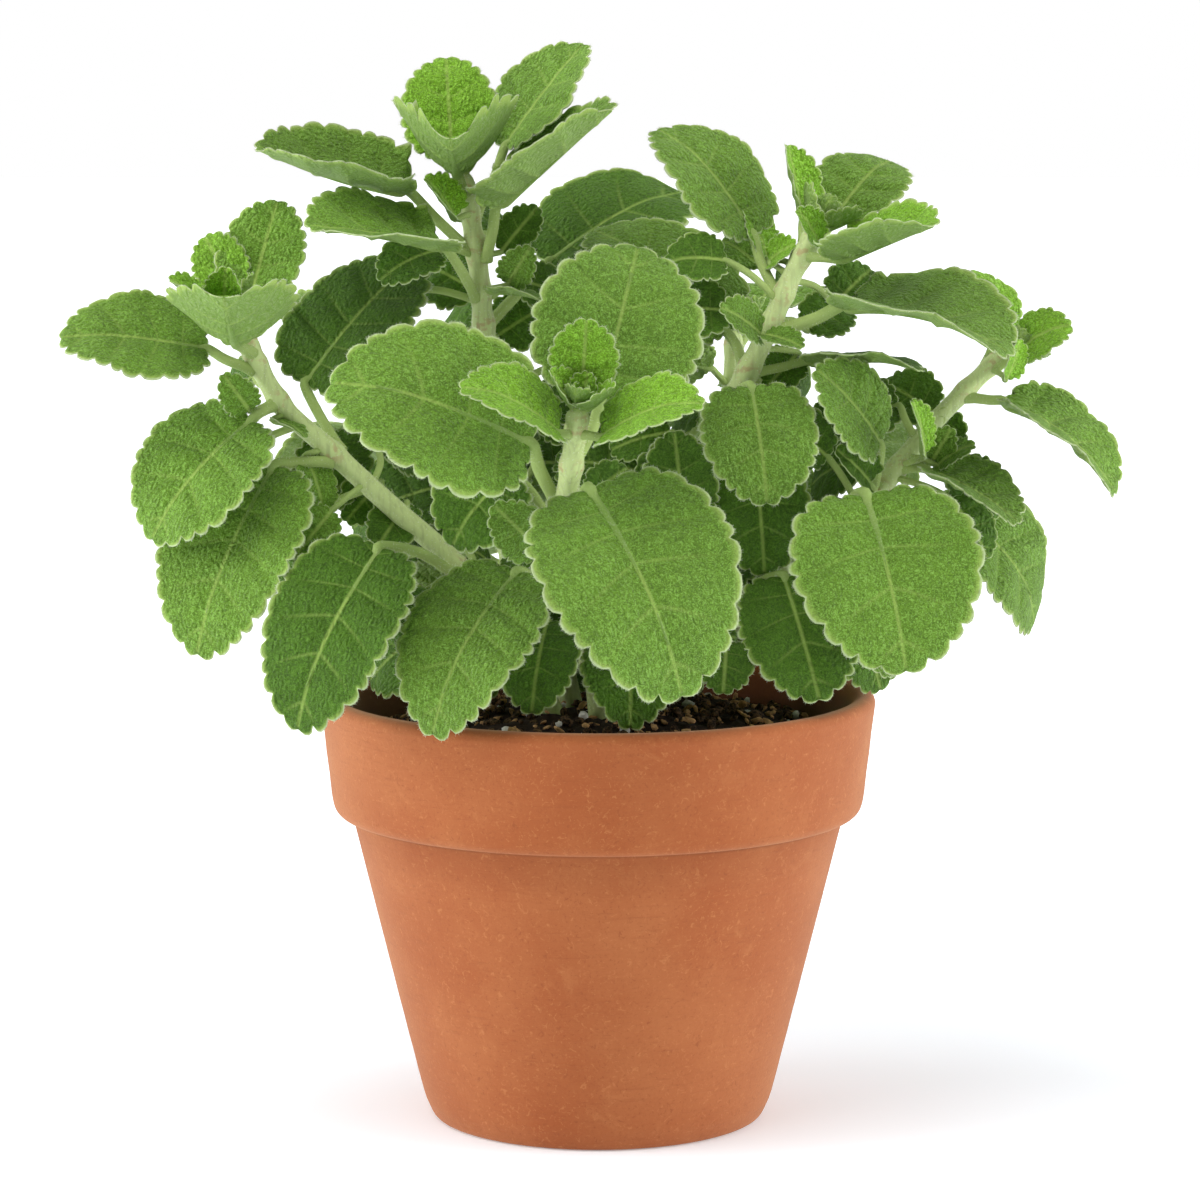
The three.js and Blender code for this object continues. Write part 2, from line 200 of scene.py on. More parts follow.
def smooth_path(points, step):
    """Catmull-Rom curve through the points, cut into equal lengths of about step."""
    p = np.vstack([2 * points[0] - points[1], points, 2 * points[-1] - points[-2]])
    s = np.linspace(0, len(points) - 1 - 1e-9, 24 * len(points))
    k = s.astype(int)
    t = (s - k)[:, None]
    a, b, c, d = p[k], p[k + 1], p[k + 2], p[k + 3]
    q = 0.5 * (2 * b + (c - a) * t + (2 * a - 5 * b + 4 * c - d) * t**2
               + (3 * b - a - 3 * c + d) * t**3)
    run = np.append(0, np.cumsum(np.linalg.norm(np.diff(q, axis=0), axis=1)))
    at = np.linspace(0, run[-1], max(4, int(run[-1] / step) + 1))
    return np.stack([np.interp(at, run, q[:, i]) for i in range(3)], -1)


def spikes(roots, ways, length, width):
    """Hairs: each is a closed three-sided spike, a small triangle across its way at the
    root and one point at root + way · length."""
    ways = ways / np.linalg.norm(ways, axis=1, keepdims=True)
    e1, e2 = square_to(ways, np.eye(3)[np.argmin(np.abs(ways), axis=1)])
    a = np.array([0, 2, 4]) * np.pi / 3
    ring = roots[:, None] + width * (np.cos(a)[None, :, None] * e1[:, None]
                                     + np.sin(a)[None, :, None] * e2[:, None])
    tips = (roots + ways * np.reshape(length, (-1, 1)))[:, None]
    points = np.concatenate([ring, tips], 1).reshape(-1, 3)
    o = 4 * np.arange(len(roots))[:, None, None]
    faces = (o + np.array([[0, 1, 3], [1, 2, 3], [2, 0, 3], [2, 1, 0]])[None]).reshape(-1, 3)
    if len(roots) and signed_volume(points[:4], faces[:4]) < 0:
        faces = faces[:, ::-1]
    return points, [faces]


def new_piece(name, parts, material, node=None):
    """One mesh object from parts, each (points in mm, [faces], {attribute: values}).
    It rides on the body named root and stands for the CAD node it replaces, if any."""
    points = np.vstack([p for p, _, _ in parts]) * MM
    offset = np.cumsum([0] + [len(p) for p, _, _ in parts])
    faces = [f + offset[i] for i, (_, fs, _) in enumerate(parts) for f in fs]
    loops = np.concatenate([f.ravel() for f in faces])
    sizes = np.concatenate([np.full(len(f), f.shape[1]) for f in faces])
    mesh = bpy.data.meshes.new(name)
    mesh.vertices.add(len(points))
    mesh.vertices.foreach_set("co", points.ravel())
    mesh.loops.add(len(loops))
    mesh.loops.foreach_set("vertex_index", loops.astype(np.int32))
    mesh.polygons.add(len(sizes))
    mesh.polygons.foreach_set("loop_start", np.append(0, np.cumsum(sizes)[:-1]).astype(np.int32))
    mesh.polygons.foreach_set("use_smooth", np.full(len(sizes), True))
    for key in sorted({k for _, _, a in parts for k in a}):
        wide = any(np.ndim(a[key]) == 2 for _, _, a in parts if key in a)
        store = mesh.attributes.new(key, "FLOAT_VECTOR" if wide else "FLOAT", "POINT")
        blank = [0.0, 0.0, 0.0] if wide else 0.0
        values = [np.broadcast_to(a.get(key, blank), (len(p), 3) if wide else (len(p),))
                  for p, _, a in parts]
        store.data.foreach_set("vector" if wide else "value",
                               np.concatenate(values).astype(np.float32).ravel())
    mesh.update(calc_edges=True)
    mesh.materials.append(material)
    piece = bpy.data.objects.new(name, mesh)
    bpy.context.scene.collection.objects.link(piece)
    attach(piece, "root")
    if node:
        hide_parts(node)
    return piece


# ---- reading the frame ------------------------------------------------------------
def cad_mesh(node):
    """A CAD node's points in mm, merged, and its triangles."""
    mesh = frame["nodes"][node].data
    co = np.zeros(len(mesh.vertices) * 3, np.float32)
    mesh.vertices.foreach_get("co", co)
    tri = np.zeros(len(mesh.polygons) * 3, np.int32)
    mesh.polygons.foreach_get("vertices", tri)
    co = np.round(co.reshape(-1, 3).astype(float) / MM, 3)
    points, index = np.unique(co, axis=0, return_inverse=True)
    return points, index.ravel()[tri.reshape(-1, 3)]


def cad_rings(node, around):
    """The rings of a CAD node that is a closed loft, from its first pole to its last.
    Points are sorted by how many edges lie between them and a pole: a pole is a point
    from which every step but the last reaches exactly one whole ring."""
    points, tris = cad_mesh(node)
    n = len(points)
    link = np.zeros((n, n))
    for a, b in ((0, 1), (1, 2), (2, 0)):
        link[tris[:, a], tris[:, b]] = link[tris[:, b], tris[:, a]] = 1
    steps = np.where(np.eye(n) > 0, 0, -1)
    front = np.eye(n)
    count = (n - 2) // around + 1
    for step in range(1, count + 1):
        front = ((front @ link > 0) & (steps < 0)).astype(float)
        steps[front > 0] = step
    want = [1] + [around] * (count - 1) + [1]
    poles = [i for i in range(n)
             if steps[i].min() >= 0 and list(np.bincount(steps[i])) == want]
    if len(poles) != 2:
        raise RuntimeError(f"{node} isn't a loft of rings of {around}")
    return [[points[steps[i] == k] for k in range(count + 1)] for i in poles]


def unit(v):
    """A vector at length 1."""
    return v / np.linalg.norm(v)


STATIONS = np.array([0.07, 0.2, 0.36, 0.53, 0.69, 0.83, 0.94])  # of the CAD blade's rings


def outline(u):
    """Half width of a blade over its largest half width: u^0.42 (1-u)^0.54 · 1.931, for u
    from the base to the tip."""
    u = np.clip(u, 0, 1)
    return u**0.42 * (1 - u) ** 0.54 * 1.931


def leaf_frame(node):
    """Reads a CAD leaf: its blade's base and tip, the way along, across and up from it,
    its width, how far its edges lift and its midrib bows, and its stalk's path."""
    ends = cad_rings(node, 7)
    rings = min(ends, key=lambda r: np.ptp(r[1], axis=0).max())  # the stalk end comes first
    tip = rings[-1][0]
    blade = rings[4:-1]
    mids, sides, ups, halves, lifts = [], [], [], [], []
    for ring in blade:
        gap = np.linalg.norm(ring[:, None] - ring[None], axis=2)
        a, b = np.unravel_index(np.argmax(gap), gap.shape)
        across = unit(ring[b] - ring[a])
        k = (ring - (ring[a] + ring[b]) / 2) @ across / (gap[a, b] / 2)
        order = np.argsort(k)  # -1, -0.5, -0.45, 0, 0.45, 0.5, 1
        s = ring[order]
        mids.append(s[3])
        ups.append((s[1] + s[5]) / 2 - (s[2] + s[4]) / 2)
        sides.append(across)
        halves.append(gap[a, b] / 2)
        lifts.append((s[0] + s[6]) / 2 - s[3])
    mids = np.array(mids)
    # the midrib is base (1-u) + tip u + bow 4u(1-u)
    u = STATIONS[:, None]
    fit, *_ = np.linalg.lstsq(np.hstack([1 - u, 4 * u * (1 - u)]), mids - tip * u, rcond=None)
    base, bow = fit
    length = np.linalg.norm(tip - base)
    along = (tip - base) / length
    rough = np.sum([unit(w) for w in ups], 0)
    up = unit(rough - rough @ along * along)
    side = np.cross(along, up)
    cup = float(np.mean([w @ up for w in lifts] / np.array(halves)))
    half = max(halves) / (1 - 0.25 * cup * cup)
    stalk = np.array([rings[0][0], rings[2].mean(0), base])
    return dict(base=base, along=along, up=up, side=side, length=length, half=half, cup=cup,
                bow=float(bow @ up) / length, stalk=stalk)


def stem_frame(node):
    """Reads a CAD stem: the path of its ring centres from the foot up, and its radii."""
    rings = min(cad_rings(node, 10), key=lambda r: r[0][0][2])
    centres = np.array([r.mean(0) for r in rings[1:-1]])
    radii = [np.linalg.norm(r - r.mean(0), axis=1).mean() for r in rings[1:-1]]
    path = smooth_path(centres, 1.0)
    share = np.linspace(0, 1, len(path))
    return path, np.interp(share, np.linspace(0, 1, len(radii)), radii)


LEAVES = {n: leaf_frame(n) for n in sorted(frame["nodes"]) if n.startswith("leaf_")}
STEMS = {n: stem_frame(n) for n in sorted(frame["nodes"]) if n.startswith("stem_")}
SLOT_OF = {s["node"]: s["material_slot"] for s in frame["record"]["subparts"]}


# ---- settings ---------------------------------------------------------------------
def length(name, description, default):
    """A setting for a length, given in mm."""
    return bpy.props.FloatProperty(name=name, description=description, default=default * MM,
                                   min=0, unit="LENGTH", precision=5)


def colour(name, description, hexcode):
    """A setting for a colour, given as sRGB hex."""
    return bpy.props.FloatVectorProperty(name=name, description=description, size=4, min=0,
                                         max=1, subtype="COLOR", default=linear(hexcode))


class OreganoPlantSettings(bpy.types.PropertyGroup):
    tooth: length("Tooth width", "Width of one rounded tooth of a leaf's edge", 7.0)
    tooth_depth: length("Tooth depth", "Depth of the notches between teeth", 1.9)
    thickness: length("Leaf thickness", "Thickness of a blade at its midrib", 1.5)
    quilting: length("Quilting", "How far the blade swells between its side veins", 1.7)
    hair: length("Hair length", "Length of the hairs on leaves and stems", 0.8)
    leaf: colour("Leaf", "Upper side of a grown leaf", "679120")
    # the shaded leaf is the grown leaf made darker: painted shade
    leaf_painted_shade: colour("Leaf, deep", "Upper side of a shaded leaf", "476f07")
    leaf_young: colour("Leaf, young", "Upper side of a young leaf", "7aae18")
    underside: colour("Underside", "Lower side of a leaf", "86ab47")
    vein: colour("Vein", "Midrib, veins and toothed edge", "b4d068")
    fuzz: colour("Hair", "Hairs of leaves and stems", "eef3dc")
    stem: colour("Stem", "Skin of the stems", "c6d790")
    node_tint: colour("Node tint", "Reddish flush at the stems' nodes", "b08a62")


class OreganoPotSettings(bpy.types.PropertyGroup):
    clay: colour("Clay", "Fired terracotta", "9e5329")
    clay_pale: colour("Pale clay", "Dusty, rubbed terracotta", "b87344")
    clay_dark: colour("Dark clay", "Damp or shaded terracotta", "8f4b26")
    compost: colour("Compost", "Peat of the compost", "20160e")
    bark: colour("Bark", "Bark chips in the compost", "a8845b")
    perlite: colour("Perlite", "White grains in the compost", "e9e6df")


class OreganoStageSettings(bpy.types.PropertyGroup):
    floor: colour("Floor", "Plain pale floor", "eef4fa")
    key: bpy.props.FloatProperty(name="Key light", description="Power of the large soft light",
                                 default=12.5, min=0, unit="POWER")
    fill: bpy.props.FloatProperty(name="Side lights", description="Power of each side light",
                                  default=8.5, min=0, unit="POWER")
    sky: bpy.props.FloatProperty(name="Surround", description="Strength of the white surround",
                                 default=1.0, min=0)


# ---- materials --------------------------------------------------------------------
def leaf_material(name, upper, velvet, look):
    """Living leaf, thick and velvety: matt green skin under short white hair, paler
    beneath, with light veins and a light toothed edge. It lets a little light through.
    Velvet is how thick its coat of hair is, 0 to 1."""
    material, t = new_material(name)
    flat = stored(t, "leaf_mm", "Vector")
    g = add(t, "ShaderNodeSeparateXYZ", in0=stored(t, "leaf_grid", "Vector")).outputs
    m = add(t, "ShaderNodeSeparateXYZ", in0=flat).outputs
    place = add(t, "ShaderNodeTexCoord").outputs["Object"]

    # side veins lie where the first grid value is a half; they thin towards the edge
    off = sums(t, "ABSOLUTE", sums(t, "SUBTRACT", sums(t, "FRACT", g[0]), 0.5))
    side_vein = times(t, remap(t, off, 0.0, 0.07, 1.0, 0.0), remap(t, g[1], 0.2, 0.9, 1.0, 0.1))
    midrib = times(t, remap(t, m[2], 0.1, 0.85, 1.0, 0.0), g[2])
    vein = sums(t, "MAXIMUM", times(t, side_vein, 0.35), midrib)
    edge = remap(t, g[1], 0.9, 1.0)

    # small net veins: one cell about 2.2 mm
    net = add(t, "ShaderNodeTexVoronoi", {"feature": "DISTANCE_TO_EDGE"}, Vector=flat,
              Scale=0.45, Randomness=0.9).outputs["Distance"]
    net_line = remap(t, net, 0.0, 0.16, 1.0, 0.0)
    # velvet of short hairs: strokes about 0.8 mm across, and clouds about 9 mm across
    speck = noise(t, place, 1200.0, 2.0, 0.55, 2.0)
    cloud = noise(t, place, 110.0)

    skin = layers(t, upper,
                  (remap(t, cloud, 0.35, 0.7, 0.0, 0.5), shade(upper, 1.3)),
                  (times(t, net_line, 0.14), shade(upper, 0.55)),
                  (remap(t, speck, 0.52, 0.36, 0.0, 0.72), shade(upper, 0.42)),
                  (remap(t, speck, 0.5, 0.64, 0.0, 0.74), shade(upper, 1.65, 0.07 * velvet)),
                  (times(t, vein, 0.8), look.vein),
                  (times(t, edge, 0.65), look.vein),
                  (remap(t, g[1], 0.97, 1.0, 0.0, 0.4), look.fuzz))
    # each leaf is a little lighter or darker than the next
    skin = add(t, "ShaderNodeHueSaturation", Color=skin, Hue=0.5,
               Value=sums(t, "MULTIPLY_ADD", stored(t, "tone"), 0.12, 1.0)).outputs[0]
    under = layers(t, look.underside,
                   (remap(t, speck, 0.45, 0.8, 0.0, 0.35), look.fuzz),
                   (times(t, net_line, 0.3), shade(look.underside, 0.6)),
                   (times(t, sums(t, "MAXIMUM", side_vein, midrib), 0.6), look.vein),
                   (times(t, edge, 0.8), look.vein))
    body = layers(t, under, (stored(t, "upper"), skin),
                  (times(t, stored(t, "stalk"), 0.8), blend(t, 0.45, look.stem, look.vein)),
                  (stored(t, "hair"), look.fuzz))

    puff = remap(t, net, 0.0, 0.4)  # the skin puffs up between the net veins
    rise = sums(t, "MULTIPLY_ADD", speck, 0.5, times(t, puff, 0.55))
    dress(t, body, rise, 1.0, 0.9, 0.16, blend(t, 0.5, body, look.vein), Roughness=0.68,
          Sheen_Weight=0.24 * velvet, Sheen_Roughness=0.45, Sheen_Tint=(0.75, 0.9, 0.5, 1.0),
          Specular_IOR_Level=0.35)
    return material


def stem_material(look):
    """Soft herb stem: pale green skin with faint lengthwise streaks, a reddish flush at
    the nodes and a coat of white hair."""
    material, t = new_material("soft green stem")
    place = add(t, "ShaderNodeTexCoord").outputs["Object"]
    long_way = add(t, "ShaderNodeMapping", Vector=place, Scale=(900.0, 900.0, 90.0))
    streak = noise(t, long_way.outputs[0], 1.0)
    blush = remap(t, noise(t, place, 420.0), 0.48, 0.66, 0.0, 0.6)
    skin = layers(t, shade(look.stem, 0.62),
                  (remap(t, streak, 0.2, 0.6, 0.4, 1.0), look.stem),
                  (times(t, stored(t, "flush"), blush), look.node_tint),
                  (stored(t, "hair"), look.fuzz))
    dress(t, skin, streak, 0.5, 0.4, 0.12, skin, Roughness=0.6, Sheen_Weight=0.12,
          Sheen_Roughness=0.5)
    return material


def terracotta_material(look):
    """Low-fired terracotta, turned on a wheel: dry orange clay with fine grit, faint
    level turning lines and patches of pale dust where it was handled. Painted shade
    darkens its hollow corners, and the wall inside above the compost is darkened by
    painted shade and damp stain."""
    material, t = new_material("turned terracotta")
    place = add(t, "ShaderNodeTexCoord").outputs["Object"]
    level = add(t, "ShaderNodeMapping", Vector=place, Scale=(70.0, 70.0, 900.0)).outputs[0]
    turning = noise(t, level, 1.0, 4.0, 0.65)
    cloud = noise(t, place, 24.0, 4.0, 0.6)
    grit = noise(t, place, 1100.0, 3.0, 0.75)
    flake = noise(t, place, 520.0, 4.0, 0.7, 1.5)
    dust = noise(t, place, 70.0, 6.0, 0.75, 0.6)
    crease = stored(t, "crease")
    # the wall inside above the compost: partly damp stain, partly painted shade
    damp_stain_and_shade = times(t, stored(t, "inside"), remap(t, cloud, 0.2, 0.8, 0.7, 1.0))
    clay = layers(t, look.clay,
                  (remap(t, cloud, 0.3, 0.7, 0.0, 0.45), look.clay_pale),
                  (remap(t, turning, 0.55, 0.75, 0.0, 0.42), look.clay_dark),
                  (remap(t, dust, 0.56, 0.72, 0.0, 0.4), look.clay_pale),
                  (remap(t, flake, 0.57, 0.66, 0.0, 0.7), look.clay_pale),
                  (remap(t, flake, 0.41, 0.33, 0.0, 0.7), look.clay_dark),
                  (remap(t, grit, 0.55, 0.72, 0.0, 0.5), look.clay_dark),
                  (remap(t, grit, 0.45, 0.25, 0.0, 0.3), look.clay_pale),
                  # painted shade: the outside's hollow corners darkened
                  (times(t, crease, 0.75), shade(look.clay_dark, 0.5)),
                  (damp_stain_and_shade, shade(look.clay_dark, 0.16)))  # painted shade and damp stain on the wall inside, above the compost
    rise = sums(t, "MULTIPLY_ADD", turning, 0.8, times(t, grit, 0.5))
    # the painted shade in the hollow corners also takes the sheen away there
    dress(t, clay, rise, 0.35, 0.5, Roughness=0.86, Specular_IOR_Level=0.3,
          Sheen_Weight=sums(t, "MULTIPLY_ADD", crease, -0.24, 0.24), Sheen_Roughness=0.5,
          Sheen_Tint=(1.0, 0.82, 0.55, 1.0))
    return material


def crumb_material(name, dark, light, size, rough=0.95):
    """Loose, dry matter such as compost, bark or perlite: two colours mottled at the size
    of its grains in mm, with a rough surface."""
    material, t = new_material(name)
    mottle = noise(t, add(t, "ShaderNodeTexCoord").outputs["Object"], 1000.0 / size, 5.0, 0.7)
    body = blend(t, remap(t, mottle, 0.4, 0.68), dark, light)
    dress(t, body, mottle, 0.8, 0.8, Roughness=rough, Specular_IOR_Level=0.25)
    return material


# ---- leaves -----------------------------------------------------------------------
STALK_SIDES, STEM_SIDES = 10, 14
EDGE_HAIRS, STALK_HAIRS, STEM_HAIRS = 3.0, 8, 10  # hairs to the mm
FACE_HAIRS = 0.12, 0.03  # hairs to the square mm of a blade's upper and lower face
HAIR_RADIUS = 0.04  # at the root, in mm


def blade_parts(f, look, rng, hairs=1.0, fine=(5, 8)):
    """A leaf from its frame, as parts for new_piece. Fine is its rows per tooth and its
    columns from the midrib to the edge.

    The grid runs along the edge (phi, 0 at the base to 1 at the tip, equal lengths of
    edge) and from the midrib to the edge (v, 0 to 1), on lines that sweep forward as the
    side veins do. The edge is the outline moved out by |sin(pi · teeth · phi)|^0.5, which
    makes round teeth with sharp notches. Height is bow 4u(1-u) + cup x²/w, plus swelling
    between the veins, a groove at the midrib and teeth that curl down."""
    size, half, lean = f["length"], 1.04 * f["half"], 1 - 0.25 * f["cup"] ** 2
    a = np.linspace(0, np.pi, 500)
    u = (1 - np.cos(a)) / 2
    ox = half * outline(u)
    oy = size * u - 0.13 * size * np.sin(a) * (1 - u) ** 3
    run = np.append(0, np.cumsum(np.hypot(np.diff(ox), np.diff(oy))))
    total = run[-1]
    tooth = look.tooth / MM * min(1.0, 0.2 + half / 32)
    teeth = max(5, round(total / tooth))
    veins = max(3, round(teeth / 2.2))
    phi = np.linspace(0, 1, teeth * fine[0] + 1)
    k = np.arange(fine[1] + 1) / fine[1]
    v = 1 - (1 - k) ** 1.6
    depth = look.tooth_depth / MM * min(1.0, 0.3 + half / 36)
    big = min(1.0, half / 22)
    curl = rng.uniform(0.0, 0.5) * (f["cup"] < 0.3)

    def one_side(sign):
        """The upper face and its ridges on one side of the midrib, and its edge's way out."""
        seed = rng.uniform(0, 2 * np.pi, 4)
        bent = phi + 0.25 / teeth * np.sin(2 * np.pi * phi * 3 + seed[0]) * np.sin(np.pi * phi)
        ex, ey = np.interp(bent * total, run, ox), np.interp(bent * total, run, oy)
        tx, ty = np.gradient(ex), np.gradient(ey)
        norm = np.hypot(tx, ty) + 1e-9
        nx, ny = ty / norm, -tx / norm
        scallop = np.abs(np.sin(np.pi * teeth * phi)) ** 0.5
        fade = np.clip(phi / 0.07, 0, 1) * np.clip((1 - phi) / 0.02, 0.6, 1)
        uneven = 1 + 0.25 * np.sin(2 * np.pi * phi * 5.3 + seed[1])
        out = depth * fade * uneven * (scallop - 0.6)
        mid = size * (phi - 0.17 * np.sin(np.pi * phi))
        w = v[None] ** 7
        x = ex[:, None] * v[None] + (nx * out)[:, None] * w
        y = mid[:, None] + (ey - mid)[:, None] * v[None] ** 1.15 + (ny * out)[:, None] * w
        uu = np.clip(y / size, 0, 1)
        z = f["bow"] * size * 4 * uu * (1 - uu)
        z = z + f["cup"] * x**2 / np.maximum(half * outline(uu), 0.4 * half)
        apart = np.abs(2 * ((phi * veins) % 1) - 1)[:, None]
        swell = (1 - (1 - apart) ** 2) * (1 - v[None] ** 3) * np.minimum(1, v[None] * 4)
        z = z + look.quilting / MM * big * swell * np.sin(np.pi * phi)[:, None] ** 0.5
        wave = (np.sin(2 * np.pi * 1.4 * phi + seed[2])
                + 0.6 * np.sin(2 * np.pi * 3.1 * phi + seed[3]))
        z = z + 0.05 * half * wave[:, None] * v[None] ** 3 * np.sin(np.pi * phi)[:, None]
        z = z - 0.9 * big * (scallop * fade)[:, None] * v[None] ** 5
        z = z - curl * size * np.clip(uu - 0.55, 0, 1) ** 2
        ridge = np.exp(-(apart**2) / 0.02) * (1 - 0.7 * v[None])
        return (sign * x, y, z, ridge), (nx * sign, ny)

    (left, out_l), (right, out_r) = one_side(-1), one_side(1)
    x, y, z, ridge = (np.hstack([l[:, :0:-1], r]) for l, r in zip(left, right))
    vv = np.append(-v[:0:-1], v)
    uu = np.clip(y / size, 0, 1)
    z = z - 0.5 * big * np.exp(-((x / 1.1) ** 2)) * (1 - uu)
    thick = look.thickness / MM * (0.45 + 0.55 * min(1, half / 15)) * (1 - 0.3 * uu)
    thick = thick * (1 - 0.62 * np.abs(vv)[None] ** 2)
    low = z - thick - 0.25 * big * ridge * (1 - np.abs(vv)[None]) ** 0.5

    def row(xs, ys, zs):
        return (f["base"] + xs[..., None] * lean * f["side"] + ys[..., None] * f["along"]
                + zs[..., None] * f["up"])

    upper, lower = row(x, y, z), row(x, y, low)
    lip = 0.3 * thick[:, 0]
    rim_l, rim_r = (row(x[:, k] + out[0] * lip, y[:, k] + out[1] * lip,
                        (z[:, k] + low[:, k]) / 2)[:, None]
                    for k, out in ((0, out_l), (-1, out_r)))
    rings = np.concatenate([upper, rim_r, lower[:, ::-1], rim_l], 1)
    rings[0], rings[-1] = rings[0].mean(0), rings[-1].mean(0)
    points, faces = loft(rings[1:-1])
    points[-2], points[-1] = rings[0, 0], rings[-1, 0]

    def around(top, below=1.0, edge=None):
        """Values at the skin's points: those of the upper face, times below for the
        lower one, with the edge's own on the rims."""
        rims = (top[:, -1:], top[:, :1]) if edge is None else (edge, edge)
        full = np.concatenate([top, rims[0], below * top[:, ::-1], rims[1]], 1)[1:-1].ravel()
        return np.append(full, [full[0], full[-1]])

    one = np.ones_like(x)
    shift = rng.uniform(0, 500, 2)
    grid = np.stack([around(one * (phi * veins)[:, None]), around(one * np.abs(vv)),
                     around(1 - 0.5 * uu, edge=one[:, :1])], -1)
    flat = np.stack([around(x) + shift[0], around(y) + shift[1], np.abs(around(x))], -1)
    parts = [(points, faces, {"leaf_grid": grid, "leaf_mm": flat, "upper": around(one, 0.0),
                              "tone": rng.uniform(-1, 1)})]

    # stalk, running on under the blade as the midrib
    keel_u = np.linspace(0.04, 0.8, 8)
    keel = (f["base"] + keel_u[:, None] * size * f["along"]
            + (f["bow"] * size * 4 * keel_u * (1 - keel_u) - 1.35 * (1 - 0.4 * keel_u)
               * (0.45 + 0.55 * min(1, half / 15)))[:, None] * f["up"])
    stalk = f["stalk"].copy()
    foot = unit(stalk[0] - stalk[1])
    stalk[0] = stalk[0] + 2.2 * foot
    stalk[-1] = stalk[-1] - 0.5 * f["up"] - 0.8 * f["along"]
    line = smooth_path(np.vstack([stalk, keel]), 0.9)
    reach = np.linalg.norm(np.diff(stalk, axis=0), axis=1).sum()
    at = np.linspace(0, 1, len(line)) * (reach + 0.8 * size)
    thick_stalk = 0.6 + 0.05 * half
    radius = thick_stalk * np.interp(at, [0, 3, reach, reach + 0.3 * size, reach + 0.8 * size],
                                     [1.35, 1.0, 0.95, 0.62, 0.15])
    rings, spoke = tube(line, radius, STALK_SIDES)
    points, faces = loft(rings)
    fade = np.clip(1.6 - at / max(reach, 1), 0, 1)  # stalk first, then midrib
    fade = np.append(np.repeat(fade, STALK_SIDES), [fade[0], fade[-1]])
    parts.append((points, faces, {"leaf_grid": np.array([0.0, 0.3, 0.0]), "stalk": fade,
                                  "leaf_mm": np.array([0.0, 0.0, 9.0])}))

    # hairs: dense on the edge, sparse on both faces and the stalk
    long = look.hair / MM * min(1.0, 0.5 + half / 30)
    roots, ways = [], []
    for rim, out in ((rim_l, out_l), (rim_r, out_r)):
        i = rng.integers(1, len(phi) - 2, int(EDGE_HAIRS * 2 * total * hairs) // 2)
        s = rng.random((len(i), 1))
        roots.append(rim[i, 0] * (1 - s) + rim[i + 1, 0] * s)
        ways.append(out[0][i][:, None] * f["side"] + out[1][i][:, None] * f["along"]
                    + rng.normal(0, 0.45, (len(i), 3)))
    area = half * size * 1.5
    strength = [np.ones(len(r)) for r in roots]
    for skin, sign, per in ((upper, 1, FACE_HAIRS[0]), (lower, -1, FACE_HAIRS[1])):
        n = int(area * per * hairs)
        strength.append(np.full(n, 0.3))
        i = rng.integers(1, x.shape[0] - 2, n)
        j = rng.integers(0, x.shape[1] - 2, n)
        s, q = rng.random((2, n, 1))
        roots.append(skin[i, j] * (1 - s) * (1 - q) + skin[i + 1, j] * s * (1 - q)
                     + skin[i, j + 1] * (1 - s) * q + skin[i + 1, j + 1] * s * q)
        ways.append(sign * f["up"] + rng.normal(0, 0.5, (n, 3)))
    n = int(reach * STALK_HAIRS * hairs)
    i = rng.integers(0, max(1, int(len(line) * reach / at[-1])), n)
    j = rng.integers(0, STALK_SIDES, n)
    roots.append(rings[i, j])
    ways.append(spoke[i, j] + rng.normal(0, 0.35, (n, 3)))
    strength = np.concatenate([*strength, np.ones(n)])
    roots, ways = np.vstack(roots), np.vstack(ways)
    reach = long * rng.uniform(0.5, 1.2, len(roots)) * (0.4 + 0.6 * strength)
    points, faces = spikes(roots, ways, reach, HAIR_RADIUS)
    parts.append((points, faces, {"hair": np.repeat(strength, 4), "upper": 1.0}))
    return parts


def leaf_materials(look):
    """The three leaf materials by slot, made once."""
    want = {"leaf": ("grown velvety leaf", look.leaf, 0.9),
            # painted shade: a darker copy with less hairy sheen, for leaves inside the crown
            "leaf_shaded": ("shaded velvety leaf", look.leaf_painted_shade, 0.25),
            "leaf_young": ("young velvety leaf", look.leaf_young, 0.9)}
    return {slot: bpy.data.materials.get(name) or leaf_material(name, tuple(tint), coat, look)
            for slot, (name, tint, coat) in want.items()}


class OREGANO_OT_leaves(bpy.types.Operator):
    """Makes every grown leaf in place of its plain solid"""

    bl_idname = "oregano.make_leaves"
    bl_label = "Leaves"

    def execute(self, context):
        look = context.scene.oregano_plant
        kinds = leaf_materials(look)
        for number, (node, f) in enumerate(LEAVES.items()):
            rng = np.random.default_rng(100 + number)
            parts = blade_parts(f, look, rng)
            new_piece(f"{node}_blade", parts, kinds[SLOT_OF[node]], node)
        return {"FINISHED"}


